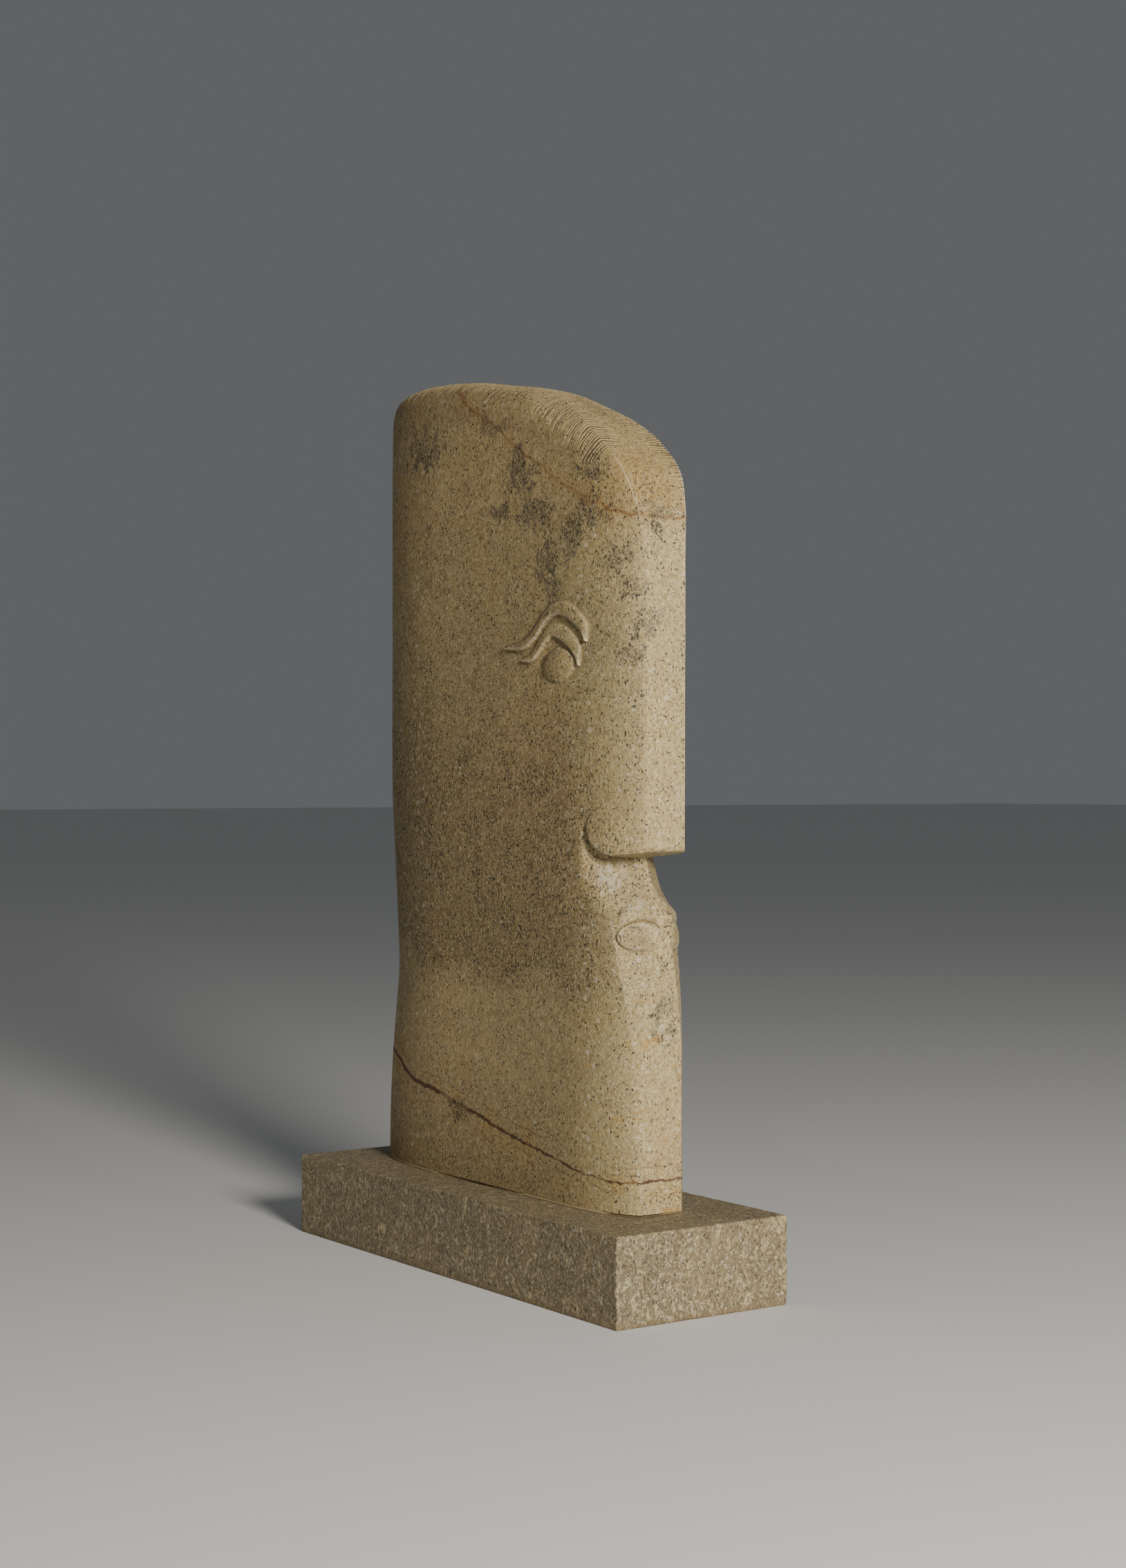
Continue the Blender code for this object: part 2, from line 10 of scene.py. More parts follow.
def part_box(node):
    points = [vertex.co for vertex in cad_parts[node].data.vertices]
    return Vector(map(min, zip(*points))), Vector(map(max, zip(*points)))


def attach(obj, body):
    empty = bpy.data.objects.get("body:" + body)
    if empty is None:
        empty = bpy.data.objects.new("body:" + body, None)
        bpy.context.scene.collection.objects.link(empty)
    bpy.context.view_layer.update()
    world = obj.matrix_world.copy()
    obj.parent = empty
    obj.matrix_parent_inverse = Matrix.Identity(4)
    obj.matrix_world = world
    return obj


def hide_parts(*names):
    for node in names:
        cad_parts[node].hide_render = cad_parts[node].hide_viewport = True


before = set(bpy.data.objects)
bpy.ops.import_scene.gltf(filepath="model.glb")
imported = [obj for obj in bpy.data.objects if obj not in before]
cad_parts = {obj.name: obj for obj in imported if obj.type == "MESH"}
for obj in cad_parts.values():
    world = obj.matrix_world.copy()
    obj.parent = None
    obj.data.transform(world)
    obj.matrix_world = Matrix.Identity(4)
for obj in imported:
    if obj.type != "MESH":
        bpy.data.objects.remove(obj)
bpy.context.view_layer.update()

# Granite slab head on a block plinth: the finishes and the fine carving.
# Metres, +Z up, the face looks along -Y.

print("frame: loaded")

# Meshes and shader sums

def meshObject(name, points, faces, sharpOver=None):
    mesh = bpy.data.meshes.new(name)
    mesh.from_pydata(points, [], faces)
    mesh.update()
    if sharpOver:
        mesh.shade_smooth()
        mesh.set_sharp_from_angle(angle=math.radians(sharpOver))
    made = bpy.data.objects.new(name, mesh)
    bpy.context.scene.collection.objects.link(made)
    return made


class Wire:
    # a socket of a material; + - * / on it add Math nodes
    def __init__(self, stone, socket):
        self.stone = stone
        self.socket = socket

    def math(self, operation, *values):
        return self.stone.node("Math", {"operation": operation}, dict(enumerate(values)))

    def __add__(self, other):
        return self.math("ADD", self, other)

    def __radd__(self, other):
        return self.math("ADD", other, self)

    def __sub__(self, other):
        return self.math("SUBTRACT", self, other)

    def __rsub__(self, other):
        return self.math("SUBTRACT", other, self)

    def __mul__(self, other):
        return self.math("MULTIPLY", self, other)

    def __rmul__(self, other):
        return self.math("MULTIPLY", other, self)

    def __truediv__(self, other):
        return self.math("DIVIDE", self, other)


class Stone:
    # one procedural material, read in object coordinates, which are the frame's own metres
    def __init__(self, name):
        self.material = bpy.data.materials.new(name)
        self.material.use_nodes = True
        self.tree = self.material.node_tree
        self.shader = self.tree.nodes["Principled BSDF"]
        self.place = self.node("TexCoord", out="Object")

    def node(self, kind, settings=None, values=None, out=0):
        made = self.tree.nodes.new("ShaderNode" + kind)
        for name, setting in (settings or {}).items():
            if name == "curve":
                self.setCurve(made.mapping, setting)
            else:
                setattr(made, name, setting)
        for name, value in (values or {}).items():
            self.feed(made.inputs[name], value)
        return Wire(self, made.outputs[out])

    def feed(self, socket, value):
        if isinstance(value, Wire):
            self.tree.links.new(value.socket, socket)
        elif socket.type == "RGBA" and len(value) == 3:
            socket.default_value = (*value, 1)
        else:
            socket.default_value = value

    def setCurve(self, mapping, points):
        line = mapping.curves[0]
        while len(line.points) < len(points):
            line.points.new(1, 1)
        for point, spot in zip(line.points, points):
            point.location = spot
        mapping.update()

    def noise(self, scale, detail=2, roughness=0.5, distortion=0, place=None):
        return self.node("TexNoise", {}, {
            "Vector": place or self.place, "Scale": scale, "Detail": detail,
            "Roughness": roughness, "Distortion": distortion})

    def crystals(self, scale, place):
        # a random draw for each crystal, and how far a point is from its middle
        near = self.node("TexVoronoi", {}, {"Vector": place, "Scale": scale})
        colour = Wire(self, near.socket.node.outputs["Color"])
        return self.node("SeparateColor", {}, {0: colour}, "Red"), near

    def squiggles(self, lineScale, breakScale, share, place):
        # short curved marks: the thin contours of one noise, broken up by another
        line = self.noise(lineScale, 1, 0.5, 0.4, place) - 0.5
        thin = 1 - self.step(line.math("ABSOLUTE", line), 0.03, 0.085)
        return thin * self.step(self.noise(breakScale, 1, 0.5, 0, place), 0.64 - share, 0.68 - share)

    def step(self, value, low, high):
        return self.node("MapRange", {"interpolation_type": "SMOOTHSTEP"}, {
            "Value": value, "From Min": low, "From Max": high})

    def band(self, value, middle, halfWidth):
        # 1 at the middle value, fading to 0 at a half-width on either side
        return 1 - self.step(self.node("Math", {"operation": "ABSOLUTE"}, {0: value - middle}), 0, halfWidth)

    def mix(self, share, below, above):
        return self.node("Mix", {"data_type": "RGBA"}, {0: share, 6: below, 7: above}, 2)

    def layers(self, colour, coats):
        # tints laid over one another, each with its share from 0 to 1
        for share, tint in coats:
            colour = self.mix(share, colour, granite[tint])
        return colour

    def shift(self, operation, vector, other):
        return self.node("VectorMath", {"operation": operation}, {0: vector, 1: other})

    def axis(self, name):
        return self.node("SeparateXYZ", {}, {0: self.place}, name)

    def mark(self, name):
        return self.node("Attribute", {"attribute_name": name}, {}, "Fac")

    def spot(self, middle, radii):
        # 1 at the middle of an egg-shaped place in the stone, 0 outside it
        away = self.shift("DIVIDE", self.shift("SUBTRACT", self.place, middle), radii)
        length = self.node("VectorMath", {"operation": "LENGTH"}, {0: away}, "Value")
        return 1 - self.step(length, 0.1, 1)

    def largest(self, values):
        total = values[0]
        for value in values[1:]:
            total = total.math("MAXIMUM", total, value)
        return total

    def vein(self, route, wander, ripple):
        # height above a vein that crosses the stone, drawn as points of y and z
        ys, zs = zip(*drawn(route, 0.001, 0.001))
        lowY, spanY, lowZ, spanZ = min(ys), max(ys) - min(ys), min(zs), max(zs) - min(zs)
        along = (self.axis("Y") - lowY) / spanY
        points = sorted(((y - lowY) / spanY, (z - lowZ) / spanZ) for y, z in zip(ys, zs))
        height = self.node("FloatCurve", {"curve": points}, {"Value": along}) * spanZ + lowZ
        waver = (self.noise(ripple, 3, 0.6) - 0.5) * wander
        return self.axis("Z") - height - waver

    def finish(self, colour, roughness, height, bumpDistance):
        self.feed(self.shader.inputs["Base Color"], colour)
        self.feed(self.shader.inputs["Roughness"], roughness)
        bump = self.node("Bump", {}, {"Height": height, "Distance": bumpDistance, "Strength": 1.0})
        self.feed(self.shader.inputs["Normal"], bump)
        return self.material


# Head: the same form as the solid, meshed finely, with the crown's tooling cut in

low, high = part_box("head")
slab = {
    "height": high.z - low.z,
    "depth": 0.458,
    "thickness": 0.086,
    "backHalfWidth": 0.092,      # share of the half-thickness left along the back edge
    "backReach": 0.190,          # share of the height over which the flank falls to it
    "cornerPower": 3.0,
}
unitUp = slab["height"]
unitBack = slab["depth"]
unitOut = slab["thickness"] / 2

# Front and crown from the foot to the back corner, in thousandths:
# back, up, how flat the front stays there, reach of the rounding, crease
frontAndCrown = [
    (15, -60, 465, 115, 2), (15, 200, 465, 115, 2), (10, 260, 470, 120, 3), (2, 320, 460, 130, 4),
    (0, 345, 440, 140, 4), (0, 400, 429, 142, 4),
    (0, 700, 449, 142, 4), (2, 749, 469, 142, 4), (12, 793, 571, 130, 4), (24, 817, 653, 110, 4),
    (35, 832, 714, 90, 4), (48, 846, 755, 75, 4), (69, 860, 796, 60, 3), (100, 877, 796, 48, 1),
    (143, 897, 755, 40, 0), (195, 917, 592, 37, 0), (260, 936, 347, 37, 0), (338, 956, 82, 37, 0),
    (431, 970, 0, 37, 0), (528, 980, 0, 37, 0), (619, 990, 0, 37, 0), (719, 997, 0, 37, 0),
    (810, 1000, 0, 37, 0), (874, 998, 0, 37, 0), (933, 990, 0, 37, 0), (971, 973, 0, 37, 0),
    (993, 949, 0, 37, 0), (1000, 918, 0, 37, 0),
]
backLine = [
    (1000, 1060), (1000, 918), (1000, 700), (1000, 500), (993, 430), (976, 318),
    (969, 252), (979, 205), (998, 130), (1009, 50), (1010, -40),
]
mouth = {
    # back against up, in thousandths, of the ridge where the two facets meet
    "ridge": [
        (-38, 150), (-27, 237), (-22, 262), (-15, 290), (-6, 322), (-3, 337), (5, 345),
        (24, 356), (40, 366), (52, 380), (62, 395), (67, 405), (69, 450),
    ],
    "ridgeHalfWidth": 0.002, "softFrom": 0.324, "softTo": 0.350, "softness": 0.014,
    "cornerBack": 0.067, "cornerUp": 0.317, "peakBack": 0.0275, "peakUp": 0.3315, "frontUp": 0.319,
    "upperRaise": 0.105, "upperFade": 0.011,
    "padBack": 0.033, "padUp": 0.315, "padHalfLength": 0.030, "padHalfHeight": 0.0165, "padRaise": 0.128,
}
nose = {
    "tipUp": 0.4095, "slope": 0.10, "tipRadius": 0.006, "notchRadius": 0.005, "ramp": 0.003,
    "wingBack": 0.081, "wingUp": 0.437, "wingHalfLength": 0.0655, "wingHalfHeight": 0.031,
    "wingRaise": 0.056,
}
eye = {
    # lids from the front tip to the tail, in thousandths: back, up, half-width
    "upperLid": [
        (145, 652, 1), (155, 669, 8), (184, 683, 9.5), (219, 692, 9.3), (260, 690, 8),
        (291, 679, 7.5), (322, 663, 7.5), (362, 652, 6), (428, 650, 1),
    ],
    "lowerLid": [
        (167, 625, 1), (174, 640, 7), (197, 654, 9.5), (228, 664, 9.5), (260, 668, 8.8),
        (286, 659, 8), (305, 648, 7.5), (329, 637, 6), (367, 634, 1),
    ],
    "upperRaise": 0.102, "lowerRaise": 0.093,
    "ballBack": 0.236, "ballUp": 0.626, "ballHalfLength": 0.0535, "ballHalfHeight": 0.0205,
    "ballRaise": 0.111,
    "socketBack": 0.207, "socketUp": 0.657, "socketHalfLength": 0.164, "socketHalfHeight": 0.062,
    "socketDepth": 0.056,
}


def drawn(table, *units):
    return [tuple(value * unit for value, unit in zip(row, units)) for row in table]


def smoothCurve(points, step=0.0016):
    # Catmull-Rom through the points
    knots = np.array(points, float)
    padded = np.vstack([2 * knots[0] - knots[1], knots, 2 * knots[-1] - knots[-2]])
    samples = []
    for before, start, end, after in zip(padded, padded[1:], padded[2:], padded[3:]):
        count = max(2, math.ceil(np.linalg.norm((end - start)[:2]) / step))
        t = (np.arange(count) / count)[:, None]
        samples.append(0.5 * (
            2 * start + (end - before) * t
            + (2 * before - 5 * start + 4 * end - after) * t ** 2
            + (3 * start - before - 3 * end + after) * t ** 3
        ))
    samples.append(knots[-1:])
    return np.vstack(samples)


def smoothStep(start, end, value):
    t = np.clip((value - start) / (end - start), 0, 1)
    return t * t * (3 - 2 * t)


def rounding(depth, reach, crease=0.0):
    lost = np.sqrt(1 - (1 - crease / (reach + crease)) ** 2)
    left = np.clip(1 - (depth + crease) / (reach + crease), 0, 1)
    return (np.sqrt(1 - left ** 2) - lost) / (1 - lost)


def nearestOn(curve, back, up):
    # distance to a curve and the place of the nearest point, in samples
    start, along = curve[:-1, :2], np.diff(curve[:, :2], axis=0)
    length2 = (along ** 2).sum(1)
    distance, place = np.empty(len(back)), np.empty(len(back))
    for first in range(0, len(back), 2000):
        part = slice(first, first + 2000)
        away = np.stack([back[part], up[part]], -1)[:, None] - start
        t = np.clip((away * along).sum(2) / length2, 0, 1)
        gap = np.linalg.norm(away - t[..., None] * along, axis=2)
        best = gap.argmin(1)
        rows = np.arange(len(best))
        distance[part] = gap[rows, best]
        place[part] = best + t[rows, best]
    return distance, place


def readColumn(curve, place, column):
    return np.interp(place, np.arange(len(curve)), curve[:, column])


thousandthUp = unitUp / 1000
thousandthBack = unitBack / 1000
crownCurve = smoothCurve(drawn(
    frontAndCrown, thousandthBack, thousandthUp, 0.001, thousandthUp, thousandthUp))
backCurve = smoothCurve(drawn(backLine, thousandthBack, thousandthUp))[::-1]
ridgeCurve = smoothCurve(drawn(mouth["ridge"], thousandthBack, thousandthUp))
upperLidCurve = smoothCurve(drawn(eye["upperLid"], thousandthBack, thousandthUp, thousandthUp))
lowerLidCurve = smoothCurve(drawn(eye["lowerLid"], thousandthBack, thousandthUp, thousandthUp))
ridgeHalfWidth = mouth["ridgeHalfWidth"] * unitUp
ledgeRamp = nose["ramp"] * unitUp


def backEdge(up):
    return np.interp(up, backCurve[:, 1], backCurve[:, 0])


def ridgeBack(up):
    return np.interp(up, ridgeCurve[:, 1], ridgeCurve[:, 0])


def frontBack(up):
    # the front of the slab, set back a little at the jaw
    below = crownCurve[:, 1] < nose["wingUp"] * unitUp
    return np.interp(up, crownCurve[below, 1], crownCurve[below, 0])


def undersideUp(back):
    return (nose["tipUp"] - nose["slope"] * (back / unitUp - nose["tipRadius"])) * unitUp


def blockOut(back, up):
    # half-thickness of the slab with its rounded edges
    depth, place = nearestOn(crownCurve, back, up)
    flat = np.maximum(readColumn(crownCurve, place, 2), 0)
    reach = readColumn(crownCurve, place, 3)
    crease = np.maximum(readColumn(crownCurve, place, 4), 0)
    front = flat + (1 - flat) * rounding(depth, reach, crease)
    rear = rounding(np.maximum(backEdge(up) - back, 0), slab["backReach"] * unitUp)
    front, rear = np.maximum(front, 0.001), np.maximum(rear, 0.001)
    power = slab["cornerPower"]
    both = (front ** -power + rear ** -power - 1) ** (-1 / power)
    return unitOut * (slab["backHalfWidth"] + (1 - slab["backHalfWidth"]) * both)


def wedgeOut(back, up, block):
    # the slab cut by the two flat facets that meet in the ridge of the mouth
    facet = np.maximum(back - ridgeBack(up), ridgeHalfWidth)
    blend = smoothStep(mouth["softFrom"], mouth["softTo"], up / unitUp)
    soft = mouth["softness"] * unitUp * (0.001 + blend)
    share = np.clip(0.5 + 0.5 * (block - facet) / soft, 0, 1)
    cut = block + (facet - block) * share - soft * share * (1 - share)
    return np.maximum(cut, ridgeHalfWidth)


def mouthLineUp(back):
    peakBack, cornerBack = mouth["peakBack"], mouth["cornerBack"]
    back = back / unitBack
    behind = (mouth["peakUp"] - mouth["cornerUp"]) * ((back - peakBack) / (cornerBack - peakBack)) ** 2
    ahead = (mouth["peakUp"] - mouth["frontUp"]) * ((back - peakBack) / peakBack) ** 2
    return (mouth["peakUp"] - np.where(back > peakBack, behind, ahead)) * unitUp


def lipsOut(back, up):
    fade = mouth["upperFade"] * unitUp
    above = up - mouthLineUp(back)
    corner = 1 - smoothStep(0.8, 1.03, back / (mouth["cornerBack"] * unitBack))
    height = np.maximum(above, 0) / fade
    upper = mouth["upperRaise"] * height * np.exp(1 - height) * corner
    spread = ((back / unitBack - mouth["padBack"]) / mouth["padHalfLength"]) ** 2
    spread = spread + ((up / unitUp - mouth["padUp"]) / mouth["padHalfHeight"]) ** 2
    pad = mouth["padRaise"] * np.sqrt(np.clip(1 - spread ** 2, 0, 1))
    over = smoothStep(-0.08, 0.05, above / fade)
    return (upper * over + pad * (1 - over)) * unitOut


def wingSpread(back, up):
    return np.hypot((back / unitBack - nose["wingBack"]) / nose["wingHalfLength"],
                    (up / unitUp - nose["wingUp"]) / nose["wingHalfHeight"])


def wingOut(back, up):
    fade = smoothStep(-0.9, 0.2, (back / unitBack - nose["wingBack"]) / nose["wingHalfLength"])
    fade = fade * (1 - smoothStep(0, 0.8, (up / unitUp - nose["wingUp"]) / nose["wingHalfHeight"]))
    return nose["wingRaise"] * unitOut * (1 - smoothStep(0.86, 1.0, wingSpread(back, up))) * fade


def noseShare(back, up):
    # 1 on the nose and above it, 0 below its underside and round the back of its wing
    under = smoothStep(-ledgeRamp, 0, up - undersideUp(back))
    roundWing = 1 - smoothStep(1, 1 + nose["ramp"] / nose["wingHalfHeight"], wingSpread(back, up))
    share = np.where(back < nose["wingBack"] * unitBack, under,
                     np.where(up < nose["wingUp"] * unitUp, roundWing, 1))
    behind = (back / unitBack - nose["wingBack"]) / nose["wingHalfLength"]
    return np.maximum(share, smoothStep(1, 1.3, behind))


def lidOut(curve, raiseBy, back, up):
    # a raised band that climbs to its inner edge and drops there
    distance, place = nearestOn(curve, back, up)
    whole = np.clip(place.astype(int), 0, len(curve) - 2)
    along = curve[whole + 1, :2] - curve[whole, :2]
    awayBack = back - readColumn(curve, place, 0)
    awayUp = up - readColumn(curve, place, 1)
    side = np.sign(along[:, 0] * awayUp - along[:, 1] * awayBack)
    across = side * distance / readColumn(curve, place, 2)
    return raiseBy * np.sqrt(np.clip(1 - across ** 4, 0, 1)) * (0.75 - 0.25 * across)


def eyeOut(back, up):
    shareBack, shareUp = back / unitBack, up / unitUp
    socket = ((shareBack - eye["socketBack"]) / eye["socketHalfLength"]) ** 2
    socket = socket + ((shareUp - eye["socketUp"]) / eye["socketHalfHeight"]) ** 2
    hollow = -eye["socketDepth"] * np.clip(1 - socket, 0, 1) ** 1.5
    spread = ((shareBack - eye["ballBack"]) / eye["ballHalfLength"]) ** 2
    spread = spread + ((shareUp - eye["ballUp"]) / eye["ballHalfHeight"]) ** 2
    ball = eye["ballRaise"] * np.sqrt(np.clip(1 - spread, 0, 1))
    upper = lidOut(upperLidCurve, eye["upperRaise"], back, up)
    lower = lidOut(lowerLidCurve, eye["lowerRaise"], back, up)
    return (hollow + np.maximum(np.maximum(upper, lower), np.where(lower > 0, 0, ball))) * unitOut


def headOut(back, up):
    # half-thickness of the carved head at a place on its flank
    block = blockOut(back, up)
    face = wedgeOut(back, up, block)
    face = face + lipsOut(back, up) * smoothStep(1, 3, face / ridgeHalfWidth)
    blade = block + wingOut(back, up)
    return face + (blade - face) * noseShare(back, up) + eyeOut(back, up)


# The outline and the rings of points that follow it

outlineSteps = {             # spacing of the points along the outline, in metres
    "front": 0.0040, "mouth": 0.0012, "corner": 0.0005, "underside": 0.0018,
    "brow": 0.0016, "crown": 0.00068, "back": 0.0040,
}
outlineParts = {"chinUp": 0.21, "bladeUp": 0.745, "browBack": 0.09}      # shares of the height and depth
belt = {
    "frontEdge": 0.0024, "crownEdge": 0.0158, "backEdge": 0.0071,   # how far the rounded edge runs in
    "frontBand": 0.0060, "crownBand": 0.0430, "backBand": 0.0140,   # and the belt of points with it
    "edgeRings": 8, "bandRings": 9, "landShares": (0.0, 0.35, 0.7, 0.94),
}


def fillet(corner, before, after, radius, count=9):
    corner, before, after = (Vector(p) for p in (corner, before, after))
    start = corner + (before - corner).normalized() * radius
    end = corner + (after - corner).normalized() * radius
    return [tuple(start.lerp(corner, t).lerp(corner.lerp(end, t), t)) for t in np.linspace(0, 1, count)]


def respace(points, spacing):
    points = np.array(points, float)
    run = np.concatenate([[0], np.cumsum(np.linalg.norm(np.diff(points, axis=0), axis=1))])
    stops = np.linspace(0, run[-1], max(2, round(run[-1] / spacing) + 1))
    return np.stack([np.interp(stops, run, points[:, k]) for k in range(2)], -1)


def outline():
    wingBack, notchRadius = nose["wingBack"] * unitBack, nose["notchRadius"] * unitUp
    ups = np.arange(0, undersideUp(wingBack) - notchRadius, 0.0008)
    front = np.stack([np.maximum(ridgeBack(ups) + ridgeHalfWidth, frontBack(ups)), ups], -1)
    innerUp = undersideUp(wingBack)
    inner = (ridgeBack(innerUp) + ridgeHalfWidth, innerUp)
    tip = (0, undersideUp(0))
    notch = fillet(inner, tuple(front[-1]), tip, notchRadius)
    tipArc = fillet(tip, inner, (0, nose["wingUp"] * unitUp), nose["tipRadius"] * unitUp)
    crown = crownCurve[crownCurve[:, 1] > tipArc[-1][1], :2]
    back = backCurve[(backCurve[:, 1] < crown[-1, 1] - 0.0016) & (backCurve[:, 1] > 0)][::-1, :2]
    foot = [(backEdge(0), 0)]
    chin = front[:, 1] < outlineParts["chinUp"] * unitUp
    blade = crown[:, 1] < outlineParts["bladeUp"] * unitUp
    brow = (crown[:, 0] < outlineParts["browBack"] * unitBack) & ~blade
    rest = ~(brow | blade)
    runs = [
        (front[chin], "front"),
        (np.vstack([front[chin][-1:], front[~chin], notch[:1]]), "mouth"),
        (notch, "corner"),
        (np.vstack([notch[-1:], tipArc[:1]]), "underside"),
        (tipArc, "corner"),
        (np.vstack([tipArc[-1:], crown[blade]]), "front"),
        (np.vstack([crown[blade][-1:], crown[brow]]), "brow"),
        (np.vstack([crown[brow][-1:], crown[rest]]), "crown"),
        (np.vstack([crown[-1:], back, foot]), "back"),
    ]
    line = [respace(points, outlineSteps[name])[:-1] for points, name in runs]
    return np.vstack(line + [np.array(foot, float)])


def inward(line):
    ahead = np.diff(line, axis=0)
    ahead /= np.linalg.norm(ahead, axis=1)[:, None]
    along = np.vstack([ahead[:1], ahead[:-1] + ahead[1:], ahead[-1:]])
    normal = np.stack([along[:, 1], -along[:, 0]], -1)
    normal /= np.linalg.norm(normal, axis=1)[:, None]
    normal[0], normal[-1] = (1, 0), (-1, 0)
    return normal


def along(line, front, crown, back):
    # a size that changes from front to crown to back along the outline
    shareBack, shareUp = line[:, 0] / unitBack, line[:, 1] / unitUp
    onCrown = smoothStep(0.76, 0.90, shareUp) * smoothStep(0.03, 0.19, shareBack)
    onBack = smoothStep(0.86, 0.985, shareBack) * (shareUp < 0.9985)
    size = front + (crown - front) * onCrown
    return size + (back - size) * onBack


def unfolded(line, normal, depth):
    # shortens the belt where its inner side would run back over itself
    ahead = np.diff(line, axis=0)
    length2 = (ahead ** 2).sum(1)
    depth = depth.copy()
    for _ in range(600):
        step = np.diff(line + normal * depth[:, None], axis=0)
        tight = (step * ahead).sum(1) < 0.3 * length2
        if not tight.any():
            break
        depth[:-1][tight] *= 0.98
        depth[1:][tight] *= 0.98
    for _ in range(60):
        depth[1:-1] = np.minimum(depth[1:-1], (depth[:-2] + depth[2:]) / 2 + 0.00004)
    return depth


def insideOf(border, points):
    crossings = np.zeros(len(points), int)
    for (backA, upA), (backB, upB) in zip(border, np.roll(border, -1, axis=0)):
        if upA != upB:
            spans = (points[:, 1] < max(upA, upB)) & (points[:, 1] >= min(upA, upB))
            cross = backA + (points[:, 1] - upA) * (backB - backA) / (upB - upA)
            crossings += spans & (cross > points[:, 0])
    return crossings % 2 == 1


def clearOf(taken, points, apart):
    tree = KDTree(len(taken))
    for index, (back, up) in enumerate(taken):
        tree.insert((back, up, 0), index)
    tree.balance()
    gaps = np.array([tree.find((back, up, 0))[2] for back, up in points])
    return points[gaps > apart]


def honeycomb(spacing):
    rows = np.arange(0, unitUp, spacing * 0.866)
    columns = np.arange(0, unitBack * 1.02, spacing)
    back, up = np.meshgrid(columns, rows)
    back = back + spacing / 2 * (np.arange(len(rows)) % 2)[:, None]
    return np.stack([back.ravel(), up.ravel()], -1)


fineSpacing, middleSpacing, wideSpacing = 0.00125, 0.0026, 0.0056
# where the carving needs closer points: middles and half-sizes in shares of the depth and height
carved = {
    "eyeBack": 0.27, "eyeHalfBack": 0.20, "eyeUp": 0.652, "eyeHalfUp": 0.075,
    "mouthBack": 0.17, "mouthUp": 0.375, "mouthHalfUp": 0.105,
    "jawBack": 0.12, "jawFrom": 0.20, "jawTo": 0.345, "edgeHalfWidth": 0.0035, "rimHalfWidth": 0.16,
}


def wantedSpacing(back, up):
    # how close the flank's points have to stand to carry the carving
    shareBack, shareUp = back / unitBack, up / unitUp
    wanted = np.full(len(back), wideSpacing)
    nearEye = abs(shareBack - carved["eyeBack"]) < carved["eyeHalfBack"]
    nearEye &= abs(shareUp - carved["eyeUp"]) < carved["eyeHalfUp"]
    nearMouth = abs(shareUp - carved["mouthUp"]) < carved["mouthHalfUp"]
    nearMouth &= shareBack < carved["mouthBack"]
    wanted[nearEye | nearMouth] = middleSpacing
    fine = np.zeros(len(back), bool)
    for curve in (upperLidCurve, lowerLidCurve):
        spots = np.flatnonzero(nearEye)
        distance, place = nearestOn(curve, back[spots], up[spots])
        width = readColumn(curve, place, 2)
        fine[spots] |= abs(distance - width) < carved["edgeHalfWidth"]
    ball = np.hypot((shareBack - eye["ballBack"]) / eye["ballHalfLength"],
                    (shareUp - eye["ballUp"]) / eye["ballHalfHeight"])
    fine |= abs(ball - 0.98) < carved["rimHalfWidth"]
    fine |= nearMouth & (abs(wingSpread(back, up) - 0.98) < 0.17) & (shareBack > 0.03)
    fine |= nearMouth & (abs(up - undersideUp(back)) < 0.004) & (shareBack < 0.10)
    atLine = abs(up - mouthLineUp(back)) < carved["edgeHalfWidth"]
    fine |= nearMouth & atLine & (shareBack < 0.085)
    pad = np.hypot((shareBack - mouth["padBack"]) / mouth["padHalfLength"],
                   (shareUp - mouth["padUp"]) / mouth["padHalfHeight"])
    fine |= abs(pad - 0.97) < carved["rimHalfWidth"]
    jaw = (shareUp > carved["jawFrom"]) & (shareUp < carved["jawTo"]) & (shareBack < carved["jawBack"])
    arris = abs(back - ridgeBack(up) - blockOut(back, up)) < 0.0024
    fine |= jaw & arris
    wanted[fine] = fineSpacing
    return wanted


def flankPoints(border, closeBy):
    # points inside the border, in three spacings
    found = [closeBy[insideOf(border, closeBy)]]
    taken = np.vstack([border, found[0]])
    for spacing in (fineSpacing, middleSpacing, wideSpacing):
        points = honeycomb(spacing)
        points = points[insideOf(border, points)]
        points = points[wantedSpacing(points[:, 0], points[:, 1]) == spacing]
        points = clearOf(taken, points, spacing * 0.6)
        found.append(points)
        taken = np.vstack([taken, points])
    return np.vstack(found)


def readNoise(points, scale, seed):
    return np.array([noise.noise(Vector(p) * scale + Vector((seed, 0, 0))) for p in points])


tooling = {
    "pitch": 0.0036, "depth": 0.0015, "unevenness": 0.80, "wander": 0.30,
    "reachLeast": 0.024, "reachMost": 0.041,     # how far the strokes run in from the middle of the edge
    "onCrest": 0.08,                             # how much of them is left along the middle of the crown
    "seed": 11,
    # where they are: shares of the height and depth, and metres in from the far edge of the brow
    "upFrom": 0.90, "upTo": 0.965, "drop": 0.08, "backFrom": 0.055, "backTo": 0.125,
    "farUpFrom": 0.79, "farUpTo": 0.85, "farBackFrom": 0.2, "farBackTo": 0.3,
    "farFrom": -0.020, "farTo": -0.004, "farStrength": 0.8,
}
handWork = {
    "swell": 0.00030, "swellScale": 16.0, "ripple": 0.00010, "rippleScale": 75.0,
    "cavityReach": 0.0021, "sharpOver": 50,
}


